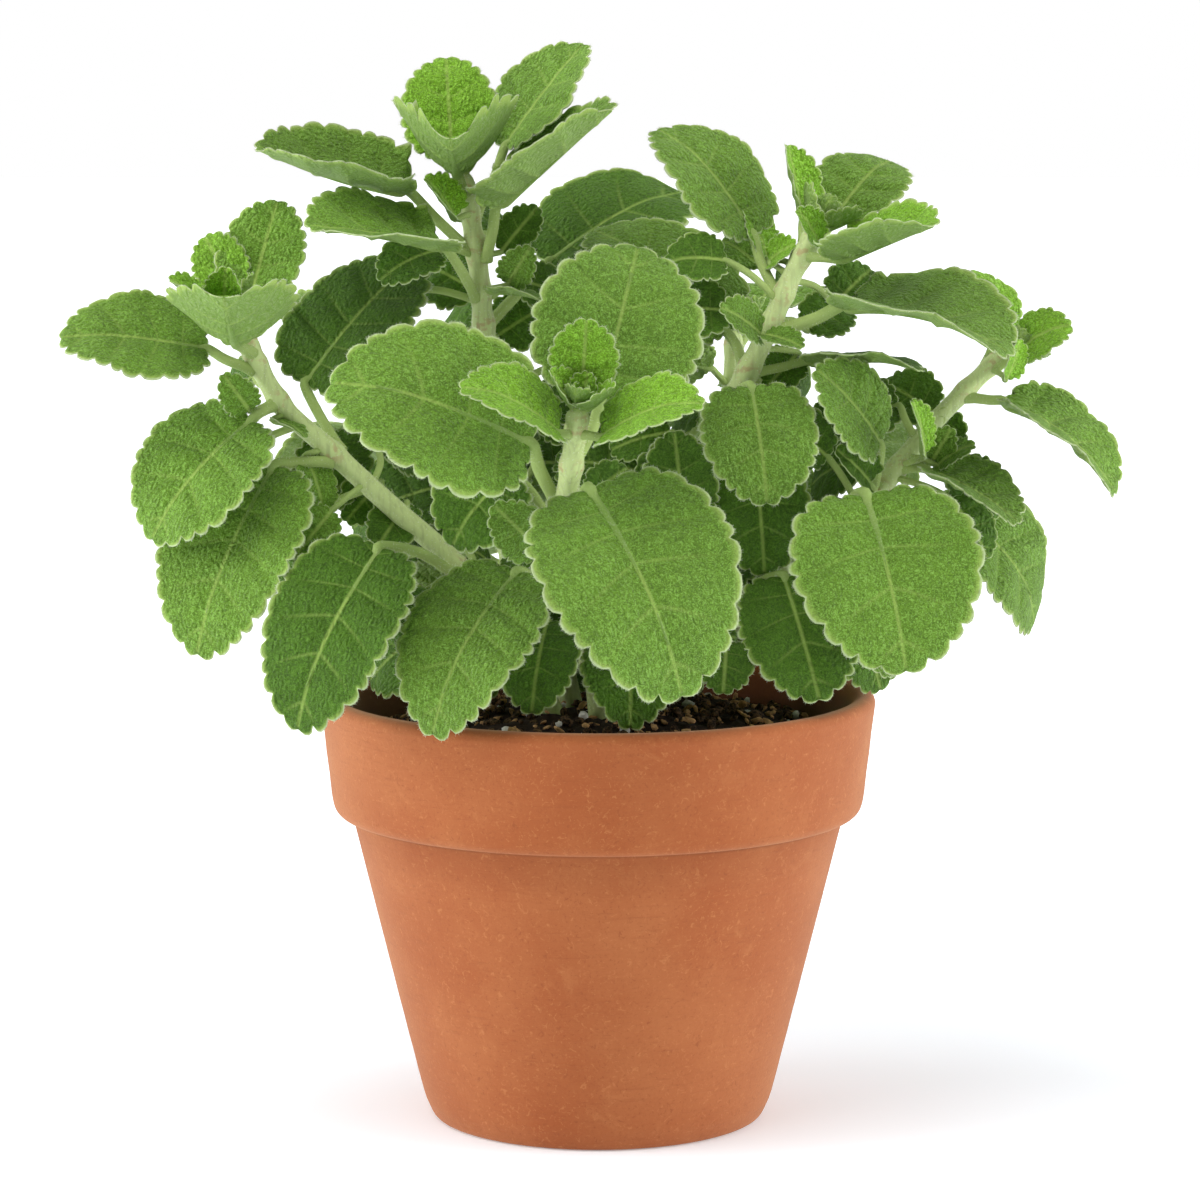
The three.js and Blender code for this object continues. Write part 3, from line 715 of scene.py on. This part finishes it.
# ---- stems ------------------------------------------------------------------------
class OREGANO_OT_stems(bpy.types.Operator):
    """Makes the hairy stems, swollen where leaves join, in place of their plain solids"""

    bl_idname = "oregano.make_stems"
    bl_label = "Stems"

    def execute(self, context):
        look = context.scene.oregano_plant
        material = stem_material(look)
        feet = np.array([f["stalk"][0] for f in LEAVES.values()])
        for number, (node, (path, radius)) in enumerate(STEMS.items()):
            rng = np.random.default_rng(300 + number)
            # the foot goes on down into the compost
            down = path[0] - np.array([0, 0, 1.0]) * np.arange(6, 0, -1)[:, None]
            line = np.vstack([down, path])
            thick = np.append(np.full(6, radius[0]), radius)
            # it swells where a stalk joins it, by exp(-(mm along the stem / 2.6)²)
            far = np.linalg.norm(line[:, None] - feet[None], axis=2)
            near = far.min(0) < radius.mean() + 2.5
            away = np.arange(len(line))[:, None] - np.argmin(far[:, near], 0)
            swell = np.exp(-((away / 2.6) ** 2)).max(1, initial=0)
            thick = thick * (1 + 0.22 * swell)
            thick[-3:] *= [0.9, 0.7, 0.4]
            rings, spoke = tube(line, thick, STEM_SIDES)
            a = np.linspace(0, 2 * np.pi, STEM_SIDES, endpoint=False)
            rings = rings + spoke * (0.12 * np.cos(4 * a))[None, :, None]  # slightly square
            points, faces = loft(rings)
            flush = np.append(np.repeat(swell, STEM_SIDES), [swell[0], swell[-1]])
            n = len(line) * STEM_HAIRS
            i, j = rng.integers(6, len(line), n), rng.integers(0, STEM_SIDES, n)
            hair = look.hair / MM * rng.uniform(0.5, 1.3, n)
            tufts = spikes(rings[i, j], spoke[i, j] + rng.normal(0, 0.3, (n, 3)), hair, 0.045)
            parts = [(points, faces, {"flush": flush}), (*tufts, {"hair": 1.0})]
            new_piece(f"{node}_skin", parts, material, node)
        return {"FINISHED"}


# ---- small leaves -----------------------------------------------------------------
# The small leaves seen in the axils: kind, stem, share of its length, then from the
# stem's centre there the blade's base and its tip in mm; the way its upper side faces,
# its width in mm, and its cup.
AXIL_LEAVES = (
    ("leaf", "front", 0.64, (-8, -8, -4), (-20, -18, 9), (-0.2, -0.95, 0.3), 15, 0.15),
    ("deep", "front", 0.68, (6, 4, 6), (16, 8, 13), (0.1, -0.9, 0.4), 11, 0.2),
    ("deep", "front", 0.32, (38, -15, -2), (37, -21, -15), (0, -0.9, 0.4), 15, 0.1),
    ("deep", "right", 0.42, (23, -3, -4), (-12, -17, 14), (-0.1, -0.85, 0.5), 30, 0.1),
    ("young", "left", 0.99, (-2, 14, 8), (-11, 20, 22), (-0.3, -0.8, 0.5), 15, 0.2),
    ("young", "left", 0.99, (-7, -8, 3), (-17, -16, 12), (0.4, -0.4, 0.8), 11, 0.4),
    ("young", "left", 0.99, (-3, -10, 4), (-2, -14, 15), (0, -0.6, 0.5), 11, 0.5),
    ("leaf", "left", 0.83, (-7, -6, -3), (-13, -14, 7), (-0.2, -0.9, 0.4), 10, 0.15),
    ("leaf", "left", 0.79, (-4, -3, -1), (5, -9, -5), (0, 0.1, 1), 8, 0.2),
    ("leaf", "left", 0.70, (-5, -2, -3), (0, -6, -19), (0.5, -0.6, 0.5), 12, 0.2),
    ("leaf", "left", 0.60, (-9, -9, -7), (-19, -17, -19), (0.4, -0.7, 0.5), 11, 0.2),
    ("deep", "left", 0.61, (-4, 9, 0), (-12, 7, -8), (0.0, -0.9, 0.4), 11, 0.2),
    ("deep", "left", 0.56, (-1, 10, 3), (-10, 4, -7), (0.1, -0.9, 0.4), 14, 0.2),
    ("deep", "left", 0.50, (0, 4, 4), (-8, -4, -8), (0.2, -0.9, 0.4), 14, 0.2),
    ("young", "top", 0.92, (-4, -9, 0), (-12, -15, 11), (0.6, -0.6, 0.5), 12, 0.6),
    ("deep", "top", 0.84, (7, 1, 3), (17, 1, 15), (0.1, -0.9, 0.4), 11, 0.2),
    ("leaf", "top", 0.79, (8, -8, 2), (14, -14, 12), (0.2, -0.9, 0.4), 10, 0.2),
    ("leaf", "top", 0.78, (3, -6, 1), (20, -14, -2), (0, 0.1, 1), 10, 0.2),
    ("deep", "top", 0.77, (-2, 8, 2), (-16, 14, 9), (-0.1, -0.8, 0.5), 20, 0.1),
    ("deep", "top", 0.68, (3, 11, 3), (17, 17, 11), (0.1, -0.8, 0.5), 18, 0.1),
    ("young", "right", 0.96, (3, -5, 2), (-3, -9, 11), (0.5, -0.7, 0.4), 10, 0.4),
    ("young", "right", 0.91, (-7, 13, 3), (-13, 13, 16), (0.6, -0.6, 0.4), 12, 0.3),
    ("young", "right", 0.90, (-6, 7, 4), (1, 1, 9), (-0.2, -0.7, 0.6), 10, 0.3),
    ("leaf", "right", 0.77, (-1, -6, 2), (-12, -16, 10), (0.2, -0.8, 0.6), 13, 0.25),
    ("leaf", "right", 0.77, (0, -7, 2), (10, -15, -1), (-0.1, -0.4, 0.9), 9, 0.25),
    ("leaf", "right", 0.89, (-8, 25, 3), (-18, 29, 10), (0.1, -0.8, 0.6), 12, 0.2),
    ("deep", "right", 0.75, (11, 9, -2), (2, 3, -11), (0.1, -0.9, 0.4), 12, 0.2),
    ("deep", "right", 0.89, (14, 17, -7), (24, 23, 2), (0.1, -0.8, 0.5), 15, 0.2),
    ("deep", "right", 0.80, (12, 24, -2), (24, 30, 4), (0, -0.7, 0.6), 16, 0.2),
    ("young", "far_right", 0.96, (4, -12, -2), (7, -14, 9), (0.7, -0.6, 0.3), 9, 0.3),
    ("young", "far_right", 0.70, (6, -15, 5), (2, -21, 20), (0.8, -0.5, 0.2), 10, 0.4),
    ("leaf", "far_right", 0.72, (7, -4, -1), (12, -8, 9), (0.1, -0.9, 0.4), 9, 0.2),
    ("leaf", "far_right", 0.72, (9, -6, -1), (18, -10, 5), (0.1, -0.6, 0.8), 9, 0.2),
    ("deep", "far_right", 0.62, (-1, -7, 5), (-11, -15, 15), (0.3, -0.8, 0.5), 13, 0.5),
    ("deep", "far_right", 0.83, (-1, 7, 1), (-15, 13, 9), (0, -0.8, 0.5), 17, 0.2),
    ("leaf", "far_right", 0.45, (11, -23, -19), (21, -33, -27), (0.5, -0.4, 0.8), 17, 0.1),
)


def made_leaf(foot, base, tip, faces, width, cup=0.2, bow=0.05):
    """The frame of a leaf that has no CAD node, given as leaf_frame gives one."""
    foot, base, tip, faces = (np.array(p, float) for p in (foot, base, tip, faces))
    size = np.linalg.norm(tip - base)
    along = (tip - base) / size
    up = unit(faces - faces @ along * along)
    stalk = np.array([foot, (foot + base) / 2 + 0.12 * np.linalg.norm(base - foot) * up, base])
    return dict(base=base, along=along, up=up, side=np.cross(along, up), length=size,
                half=width / 2, cup=cup, bow=bow, stalk=stalk)


def leaf_points(f):
    """Points spread over a leaf's blade and stalk."""
    u, k = np.linspace(0.03, 0.97, 10)[:, None], np.linspace(-1, 1, 9)[None]
    w = f["half"] * outline(u) * k
    lift = 4 * u * (1 - u) * f["bow"] * f["length"] + f["cup"] * np.abs(w * k)
    points = (f["base"] + w[..., None] * f["side"] + (u * f["length"])[..., None] * f["along"]
              + lift[..., None] * f["up"])
    return np.vstack([points.reshape(-1, 3), smooth_path(f["stalk"], 3.0)[1:]])


def nearest(a, b, axes=(0, 1, 2)):
    """From each of the points a, how far it is to the nearest of b, in the given axes."""
    a, b = a[:, axes], b[:, axes]
    return np.sqrt(np.maximum(0, (a**2).sum(1)[:, None] + (b**2).sum(1) - 2 * a @ b.T)).min(1)


TAKEN = []  # points of every leaf made so far, so that those grown later keep clear


def shown_leaf(entry):
    """The frame of one of the small leaves listed above."""
    _, stem, at, base, tip, faces, width, cup = entry
    path = STEMS[f"stem_{stem}"][0]
    foot = path[int(at * (len(path) - 1))]
    return made_leaf(foot, foot + np.array(base), foot + np.array(tip), faces, width, cup)


class OREGANO_OT_axil_leaves(bpy.types.Operator):
    """Makes the small leaves of the side shoots in the leaf axils"""

    bl_idname = "oregano.make_axil_leaves"
    bl_label = "Axil leaves"

    def execute(self, context):
        look = context.scene.oregano_plant
        kinds = leaf_materials(look)
        for number, entry in enumerate(AXIL_LEAVES):
            f = shown_leaf(entry)
            TAKEN.append(leaf_points(f))
            slot = {"deep": "leaf_shaded", "young": "leaf_young"}.get(entry[0], "leaf")
            parts = blade_parts(f, look, np.random.default_rng(700 + number), 0.8, (4, 5))
            new_piece(f"axil_leaf_{entry[1]}_{number}", parts, kinds[slot])
        return {"FINISHED"}


BUD_PAIRS = (11, 11, 0.85), (7.5, 8, 0.5), (4, 4, 0.3)  # length, width in mm, and spread


class OREGANO_OT_buds(bpy.types.Operator):
    """Makes the buds at the stems' tips: pairs of cupped leaves, each pair square to the
    one before"""

    bl_idname = "oregano.make_buds"
    bl_label = "Buds"

    def execute(self, context):
        look = context.scene.oregano_plant
        material = leaf_materials(look)["leaf_young"]
        for number, (stem, (path, _)) in enumerate(STEMS.items()):
            rng = np.random.default_rng(500 + number)
            top, way = path[-1], unit(path[-1] - path[-8])
            ref = unit(np.cross(way, [0.3, 1.0, 0.1]))
            pairs = (ref, np.cross(way, ref))
            parts = []
            for pair, (long, wide, spread) in enumerate(BUD_PAIRS):
                for sign in (1, -1):
                    out = sign * pairs[pair % 2]
                    base = top + way * (0.6 + pair * 1.1) + out * (1.7 - 0.4 * pair)
                    tip = base + unit(way + out * spread) * long
                    f = made_leaf(top + way * pair, base, tip, way * spread - out, wide,
                                  cup=0.5, bow=-0.05)
                    parts += blade_parts(f, look, rng, 0.8, (4, 4))
            new_piece(f"{stem}_bud", parts, material)
        return {"FINISHED"}


# limits in mm for leaves grown at random: where the crown ends to the front, to the back
# and below, the air they leave to leaves, stems and stalks, how far they reach past the
# crown's outline, and the height above which stems stay in view
FRONT, BACK, LOWEST = -22, 97, 116
LEAF_AIR, STEM_AIR, STALK_AIR = 3.2, 4, 2.0
CROWN_REACH, STEMS_SHOW = 9.5, 178


class OREGANO_OT_inner_leaves(bpy.types.Operator):
    """Makes the leaves inside and behind the crown. Pairs stand along each stem, each
    pair square to the next; a leaf is tried at several angles and kept if it clears all
    the others and stays within the crown's outline"""

    bl_idname = "oregano.make_inner_leaves"
    bl_label = "Inner leaves"

    def execute(self, context):
        look = context.scene.oregano_plant
        kinds = leaf_materials(look)
        rng = np.random.default_rng(900)
        grown = np.vstack([leaf_points(f) for f in LEAVES.values()])
        TAKEN.append(grown)
        stems = np.vstack([path for path, _ in STEMS.values()])
        crown = np.vstack([grown, stems])
        number = 0
        for node, (path, _) in STEMS.items():
            for level, at in enumerate(np.arange(0.08, 0.86, 0.085)):
                i = int(at * (len(path) - 1))
                way = unit(path[min(i + 4, len(path) - 1)] - path[i])
                for turn in (0, np.pi):
                    f = self.tried(path[i], way, level * np.pi / 2 + turn, at, rng, stems, crown)
                    if f is None:
                        continue
                    number += 1
                    TAKEN.append(leaf_points(f))
                    parts = blade_parts(f, look, rng, 0.25, (4, 4))
                    new_piece(f"inner_leaf_{node[5:]}_{number}", parts, kinds["leaf_shaded"])
        return {"FINISHED"}

    @staticmethod
    def tried(foot, way, angle, at, rng, stems, crown):
        """The first leaf of 16 tries that clears the rest, or None."""
        e1 = unit(np.cross(way, [0.2, 1.0, 0.3]))
        e2 = np.cross(way, e1)
        taken = np.vstack(TAKEN)
        away = stems[np.linalg.norm(stems - foot, axis=1) > 9]
        for attempt in range(16):
            a = angle + rng.normal(0, 0.25 + 0.05 * attempt)
            out = np.cos(a) * e1 + np.sin(a) * e2
            size = rng.uniform(24, 36) * (1.1 - 0.4 * at) * (1 - 0.02 * attempt)
            base = foot + out * rng.uniform(8, 20) + way * 5
            tip = base + size * unit(out * [1, 0.7, 1] - [0, 0, rng.uniform(0.1, 0.9)])
            if max(base[1], tip[1]) > BACK or min(base[1], tip[1]) < FRONT or tip[2] < LOWEST:
                continue
            faces = [0.4 * out[0], -0.8 if base[1] < 34 else 0.7, 0.6]
            f = made_leaf(foot, base, tip, faces, size * rng.uniform(0.8, 0.95), 0.12, 0.08)
            points = leaf_points(f)
            blade = points[:90]
            if nearest(blade, taken).min() < LEAF_AIR or nearest(blade, away).min() < STEM_AIR:
                continue
            if nearest(points[90:], taken).min(initial=9) < STALK_AIR:
                continue
            if nearest(blade, crown, (0, 2)).max() > CROWN_REACH:
                continue  # it would reach out of the crown
            shown = stems[stems[:, 2] > STEMS_SHOW]
            gap = nearest(shown, blade, (0, 2))
            if ((gap < 5) & (shown[:, 1] > blade[:, 1].min())).any():
                continue  # it would hide a stem
            return f
        return None


# ---- pot --------------------------------------------------------------------------
BEAD = 2.6, 0.8  # how tall and how proud the bead under the collar is, in mm
POT_SIDES = 128
LONGEST = 6  # mm; straight sides are cut into pieces no longer, so that they can wander


def pot_profile():
    """The pot's section (radius, height) in mm, walked round the CAD pot's edges where
    it meets the half plane through +X."""
    points, tris = cad_mesh("pot")
    keep = (np.abs(points[:, 1]) < 0.01) & (points[:, 0] > 0)
    pairs = np.vstack([tris[:, [0, 1]], tris[:, [1, 2]], tris[:, [2, 0]]])
    pairs = np.unique(np.sort(pairs[keep[pairs].all(1)], axis=1), axis=0)
    here = int(np.flatnonzero(keep)[np.argmax(points[keep, 2] * 10 + points[keep, 0])])
    order, before = [here], -1
    for _ in range(len(pairs)):
        ends = pairs[(pairs == here).any(1)]
        options = [int(e) for e in ends[ends != here] if e != before]
        before, here = here, options[0]
        if here == order[0]:
            break
        order.append(here)
    return points[order][:, [0, 2]]


def softened(profile, reach):
    """Corner cutting on a closed profile: each corner gives way to two points, at most
    reach mm or a quarter of the side from it."""
    ahead = np.roll(profile, -1, 0) - profile
    far = np.linalg.norm(ahead, axis=1, keepdims=True)
    step = np.minimum(0.25, reach / far) * ahead
    return np.stack([profile + step, profile + ahead - step], 1).reshape(-1, 2)


def with_bead(profile, tall, proud):
    """Adds the low bead under the collar, tall and proud in mm: the top of the outer wall
    steps out. The outer wall is the side over 30 mm long that passes farthest out at
    mid height."""
    ahead = np.roll(profile, -1, 0) - profile
    far = np.linalg.norm(ahead, axis=1)
    middle = profile[:, 1].max() / 2
    out = [p[0] + (middle - p[1]) * d[0] / d[1] if f > 30 and abs(d[1]) > 20 else 0.0
           for p, d, f in zip(profile, ahead, far)]
    k = int(np.argmax(out))
    ends = [k, (k + 1) % len(profile)]
    low, high = sorted(ends, key=lambda e: profile[e, 1])
    down = (profile[low] - profile[high]) / far[k]
    step = np.array([proud, 0.0])
    extra = [profile[high] + down * (tall - 0.4) + step, profile[high] + down * (tall + 0.4)]
    moved = profile.copy()
    moved[high] += step
    return np.insert(moved, k + 1, extra if high == k else extra[::-1], axis=0)


class OREGANO_OT_pot(bpy.types.Operator):
    """Makes the turned terracotta pot in place of its plain solid"""

    bl_idname = "oregano.make_pot"
    bl_label = "Pot"

    def execute(self, context):
        look = context.scene.oregano_pot
        profile = with_bead(pot_profile(), *BEAD)
        profile = softened(softened(softened(profile, 0.9), 0.35), 0.15)
        ahead = np.roll(profile, -1, 0) - profile
        cuts = np.maximum(1, np.ceil(np.linalg.norm(ahead, axis=1) / LONGEST)).astype(int)
        share = np.concatenate([np.arange(c) / c for c in cuts])
        profile = np.repeat(profile, cuts, 0) + share[:, None] * np.repeat(ahead, cuts, 0)
        a = np.linspace(0, 2 * np.pi, POT_SIDES, endpoint=False)
        r, z = profile[:, :1], profile[:, 1:]
        # hand of the potter: the wall wanders a few tenths of a millimetre
        lift = np.clip(z / 15, 0, 1)
        wander = 0.05 * np.sin(z * 0.55 + 0.6 * np.sin(a)) + 0.12 * np.sin(2 * a + z * 0.03)
        r = r + lift * wander * (r > 30)
        rings = np.stack([r * np.cos(a), r * np.sin(a), z + 0 * a], -1)
        quads = ring_quads(*rings.shape[:2], closed=True)
        points = rings.reshape(-1, 3)
        if signed_volume(points, np.vstack([quads[:, :3], quads[:, [0, 2, 3]]])) < 0:
            quads = quads[:, ::-1]
        # how far a point looks to the axis, from the profile's slope; none on the lip
        slope = np.roll(profile, -1, 0) - np.roll(profile, 1, 0)
        slope /= np.linalg.norm(slope, axis=1, keepdims=True)
        turn = np.sign((profile[:, 0] * np.roll(profile[:, 1], -1)
                        - profile[:, 1] * np.roll(profile[:, 0], -1)).sum())
        deep = np.clip((profile[:, 1].max() - 1.5 - profile[:, 1]) / 4, 0, 1)
        inside = np.clip(-turn * slope[:, 1], 0, 1) * deep
        # hollow corners of the outside get painted shade, by the sine of the bend there
        back = np.roll(slope, 1, 0)
        bend = back[:, 0] * slope[:, 1] - back[:, 1] * slope[:, 0]
        crease = np.clip(-turn * bend / 0.25, 0, 1) * (1 - inside) * (profile[:, 0] > 30)
        crease = np.max([share * np.roll(crease, way) for share, way in
                         ((1, 0), (0.9, 1), (0.9, -1), (0.6, 2), (0.6, -2))], axis=0)
        parts = [(points, [quads], {"inside": np.repeat(inside, POT_SIDES),
                                    "crease": np.repeat(crease, POT_SIDES)})]
        new_piece("pot_body", parts, terracotta_material(look), "pot")
        return {"FINISHED"}


# ---- compost ----------------------------------------------------------------------
def value_noise(x, y, seed):
    """Smooth random height: random values on a whole-number grid, blended by the eased
    share of the cell, 3t² - 2t³, in both directions."""
    table = np.random.default_rng(seed).random((64, 64))
    xi, yi = np.floor(x).astype(int), np.floor(y).astype(int)
    fx, fy = x - xi, y - yi
    fx, fy = fx * fx * (3 - 2 * fx), fy * fy * (3 - 2 * fy)
    t = lambda i, j: table[(xi + i) % 64, (yi + j) % 64]
    return ((t(0, 0) * (1 - fx) + t(1, 0) * fx) * (1 - fy)
            + (t(0, 1) * (1 - fx) + t(1, 1) * fx) * fy)


class OREGANO_OT_compost(bpy.types.Operator):
    """Makes the crumbly compost with bark chips and perlite in place of its plain solid"""

    bl_idname = "oregano.make_compost"
    bl_label = "Compost"

    def execute(self, context):
        look = context.scene.oregano_pot
        points, _ = cad_mesh("soil")
        floor, top = points[:, 2].min(), points[:, 2].max()
        edge_r = np.hypot(points[:, 0], points[:, 1]).max()
        wall = points[points[:, 2] < top - 6]
        under_z = wall[:, 2].max()
        under_r = np.hypot(*wall[wall[:, 2] > under_z - 0.5][:, :2].T).max()
        rim_z = points[np.hypot(points[:, 0], points[:, 1]) > edge_r - 0.5][:, 2].min()

        def surface(x, y):
            """A dome, 1 - r², under three sizes of smooth random lumps."""
            r = np.hypot(x, y) / edge_r
            z = rim_z + 3.4 + (top - rim_z) * 0.9 * (1 - r * r)
            z = z + 1.9 * (value_noise(x / 6 + 9, y / 6 + 5, 1) - 0.5)
            z = z + 1.8 * (value_noise(x / 2.6 + 3, y / 2.6 + 7, 2) - 0.5)
            return z + 0.9 * (value_noise(x / 1.1, y / 1.1, 3) - 0.5)

        a = np.linspace(0, 2 * np.pi, 180, endpoint=False)
        rad = np.linspace(edge_r - 0.1, 1.0, 54)[:, None]
        x, y = rad * np.cos(a), rad * np.sin(a)
        cap = np.stack([x, y, surface(x, y)], -1)
        feet = [(edge_r * 0.55, floor), (under_r * 0.63, floor), (under_r, under_z)]
        walls = np.stack([np.stack([r * np.cos(a), r * np.sin(a), np.full_like(a, z)], -1)
                          for r, z in feet])
        skin = loft(np.concatenate([walls, cap]))
        earth = crumb_material("moist peat compost", look.compost, shade(look.compost, 2.4), 1.6)
        new_piece("compost", [(*skin, {})], earth, "soil")

        # lumps: small rocks made from a stretched, roughened ball of few faces
        lat = np.linspace(0, np.pi, 6)[1:-1, None]
        lon = np.linspace(0, 2 * np.pi, 7, endpoint=False)[None]
        ball = np.stack([np.sin(lat) * np.cos(lon), np.sin(lat) * np.sin(lon),
                         np.cos(lat) + 0 * lon], -1)

        def scatter(name, count, sizes, squash, material, seed, lift):
            """Lumps laid on the surface at random, as one piece."""
            rng = np.random.default_rng(seed)
            parts = []
            for _ in range(count):
                r = (edge_r - 3) * math.sqrt(rng.random())
                way = rng.uniform(0, 2 * np.pi)
                x, y = r * math.cos(way), r * math.sin(way)
                big = rng.uniform(*sizes) * np.array([1, rng.uniform(0.35, 0.9), squash])
                turn = np.linalg.qr(rng.normal(0, 1, (3, 3)) + np.eye(3) * 1.5)[0]
                lump = ball * big * rng.uniform(0.75, 1.15, ball.shape[:2] + (1,))
                place = np.array([x, y, float(surface(x, y)) + lift])
                points, faces = loft((lump @ turn) + place)
                parts.append((points, faces, {}))
            new_piece(name, parts, material)

        bark = crumb_material("bark chips", look.bark, shade(look.bark, 1.8), 1.2)
        dark = crumb_material("dark bark crumbs", look.compost, shade(look.bark, 0.5), 1.0)
        perlite = crumb_material("expanded perlite", shade(look.perlite, 0.8), look.perlite, 0.8)
        scatter("compost_crumbs", 520, (0.8, 2.4), 0.7, dark, 11, 0.6)
        scatter("compost_bark_chips", 380, (0.6, 2.2), 0.35, bark, 12, 0.9)
        scatter("compost_perlite", 40, (0.7, 2.1), 0.85, perlite, 13, 1.1)
        return {"FINISHED"}


# ---- stage ------------------------------------------------------------------------
class OREGANO_OT_stage(bpy.types.Operator):
    """Lays a pale floor with a painted glow and sets the camera and soft lights"""

    bl_idname = "oregano.make_stage"
    bl_label = "Stage"

    def execute(self, context):
        look = context.scene.oregano_stage
        scene = context.scene
        material, t = new_material("matt white floor")
        # painted glow: the floor gives off light, weakly near the pot and more so away from it
        place = add(t, "ShaderNodeTexCoord").outputs["Object"]
        far = add(t, "ShaderNodeVectorMath", {"operation": "LENGTH"}, in0=place)
        shader = add(t, "ShaderNodeBsdfPrincipled", Base_Color=look.floor,
                     Roughness=0.9, Specular_IOR_Level=0.1,
                     Emission_Strength=remap(t, far.outputs["Value"], 0.12, 0.9, 0.22, 0.8),
                     Emission_Color=(1.0, 1.0, 1.0, 1.0))
        add(t, "ShaderNodeOutputMaterial", Surface=shader.outputs[0])
        mesh = bpy.data.meshes.new("floor")
        mesh.from_pydata([(-6, -6, 0), (6, -6, 0), (6, 8, 0), (-6, 8, 0)], [], [(0, 1, 2, 3)])
        mesh.materials.append(material)
        floor = bpy.data.objects.new("floor", mesh)
        scene.collection.objects.link(floor)

        world = bpy.data.worlds.new("white surround")
        world.use_nodes = True
        # brighter at the two sides and behind than on the camera's side; plain to look at
        t = world.node_tree
        t.nodes.clear()
        way = add(t, "ShaderNodeTexCoord").outputs["Generated"]
        way = add(t, "ShaderNodeSeparateXYZ", in0=way).outputs
        sides = sums(t, "MULTIPLY_ADD", sums(t, "POWER", sums(t, "ABSOLUTE", way[0]), 3.0), 1.6,
                     0.2)
        glow = sums(t, "ADD", sides, remap(t, way[1], -0.3, 0.7, 0.0, 0.5))
        seen = add(t, "ShaderNodeLightPath").outputs["Is Camera Ray"]
        power = sums(t, "MULTIPLY", sums(t, "MAXIMUM", seen, glow), look.sky)
        around = add(t, "ShaderNodeBackground", Color=(1.0, 1.0, 1.0, 1.0), Strength=power)
        add(t, "ShaderNodeOutputWorld", Surface=around.outputs[0])
        scene.world = world

        def light(name, place, aim, size, power, tint):
            lamp = bpy.data.lights.new(name, "AREA")
            lamp.shape, lamp.size, lamp.energy, lamp.color = "DISK", size, power, tint
            lamp_object = bpy.data.objects.new(name, lamp)
            lamp_object.location = place
            away = Vector(place) - Vector(aim)
            lamp_object.rotation_euler = away.to_track_quat("Z", "Y").to_euler()
            scene.collection.objects.link(lamp_object)

        light("key light", (-0.3, -0.5, 1.5), (0, 0, 0.17), 1.0, look.key, (1, 0.99, 0.97))
        for side in (-1, 1):
            light(f"side light {side}", (1.3 * side, -0.2, 0.4), (0, 0, 0.15), 0.8, look.fill,
                  (1, 1, 1))

        camera = bpy.data.cameras.new("camera")
        camera.lens, camera.sensor_width = 128.64, 36.0
        camera.clip_end = 30.0
        eye = bpy.data.objects.new("camera", camera)
        eye.location = (0.0006, -1.2, 0.3056)
        eye.rotation_euler = (math.pi / 2 - 0.1312, 0, 0)
        scene.collection.objects.link(eye)
        scene.camera = eye
        scene.view_settings.view_transform = "Standard"
        return {"FINISHED"}


# ---- panel and registration -------------------------------------------------------
STEPS = (OREGANO_OT_pot, OREGANO_OT_compost, OREGANO_OT_stems, OREGANO_OT_leaves,
         OREGANO_OT_axil_leaves, OREGANO_OT_buds, OREGANO_OT_inner_leaves, OREGANO_OT_stage)
SETTINGS = {"oregano_plant": OreganoPlantSettings, "oregano_pot": OreganoPotSettings,
            "oregano_stage": OreganoStageSettings}


class OREGANO_PT_panel(bpy.types.Panel):
    """Lists the steps that build the plant, and their settings"""

    bl_idname = "OREGANO_PT_panel"
    bl_label = "Potted oregano"
    bl_space_type = "VIEW_3D"
    bl_region_type = "UI"
    bl_category = "Oregano"

    def draw(self, context):
        for step in STEPS:
            self.layout.operator(step.bl_idname)
        for key, kind in SETTINGS.items():
            box = self.layout.box()
            for setting in kind.__annotations__:
                box.prop(getattr(context.scene, key), setting)


def register():
    for kind in (*SETTINGS.values(), *STEPS, OREGANO_PT_panel):
        bpy.utils.register_class(kind)
    for key, kind in SETTINGS.items():
        setattr(bpy.types.Scene, key, bpy.props.PointerProperty(type=kind))


def unregister():
    for key in SETTINGS:
        delattr(bpy.types.Scene, key)
    for kind in (OREGANO_PT_panel, *STEPS, *SETTINGS.values()):
        bpy.utils.unregister_class(kind)


def main():
    register()
    for step in STEPS:
        group, _, call = step.bl_idname.partition(".")
        getattr(getattr(bpy.ops, group), call)()
    bpy.context.view_layer.update()


if __name__ == "__main__":
    main()
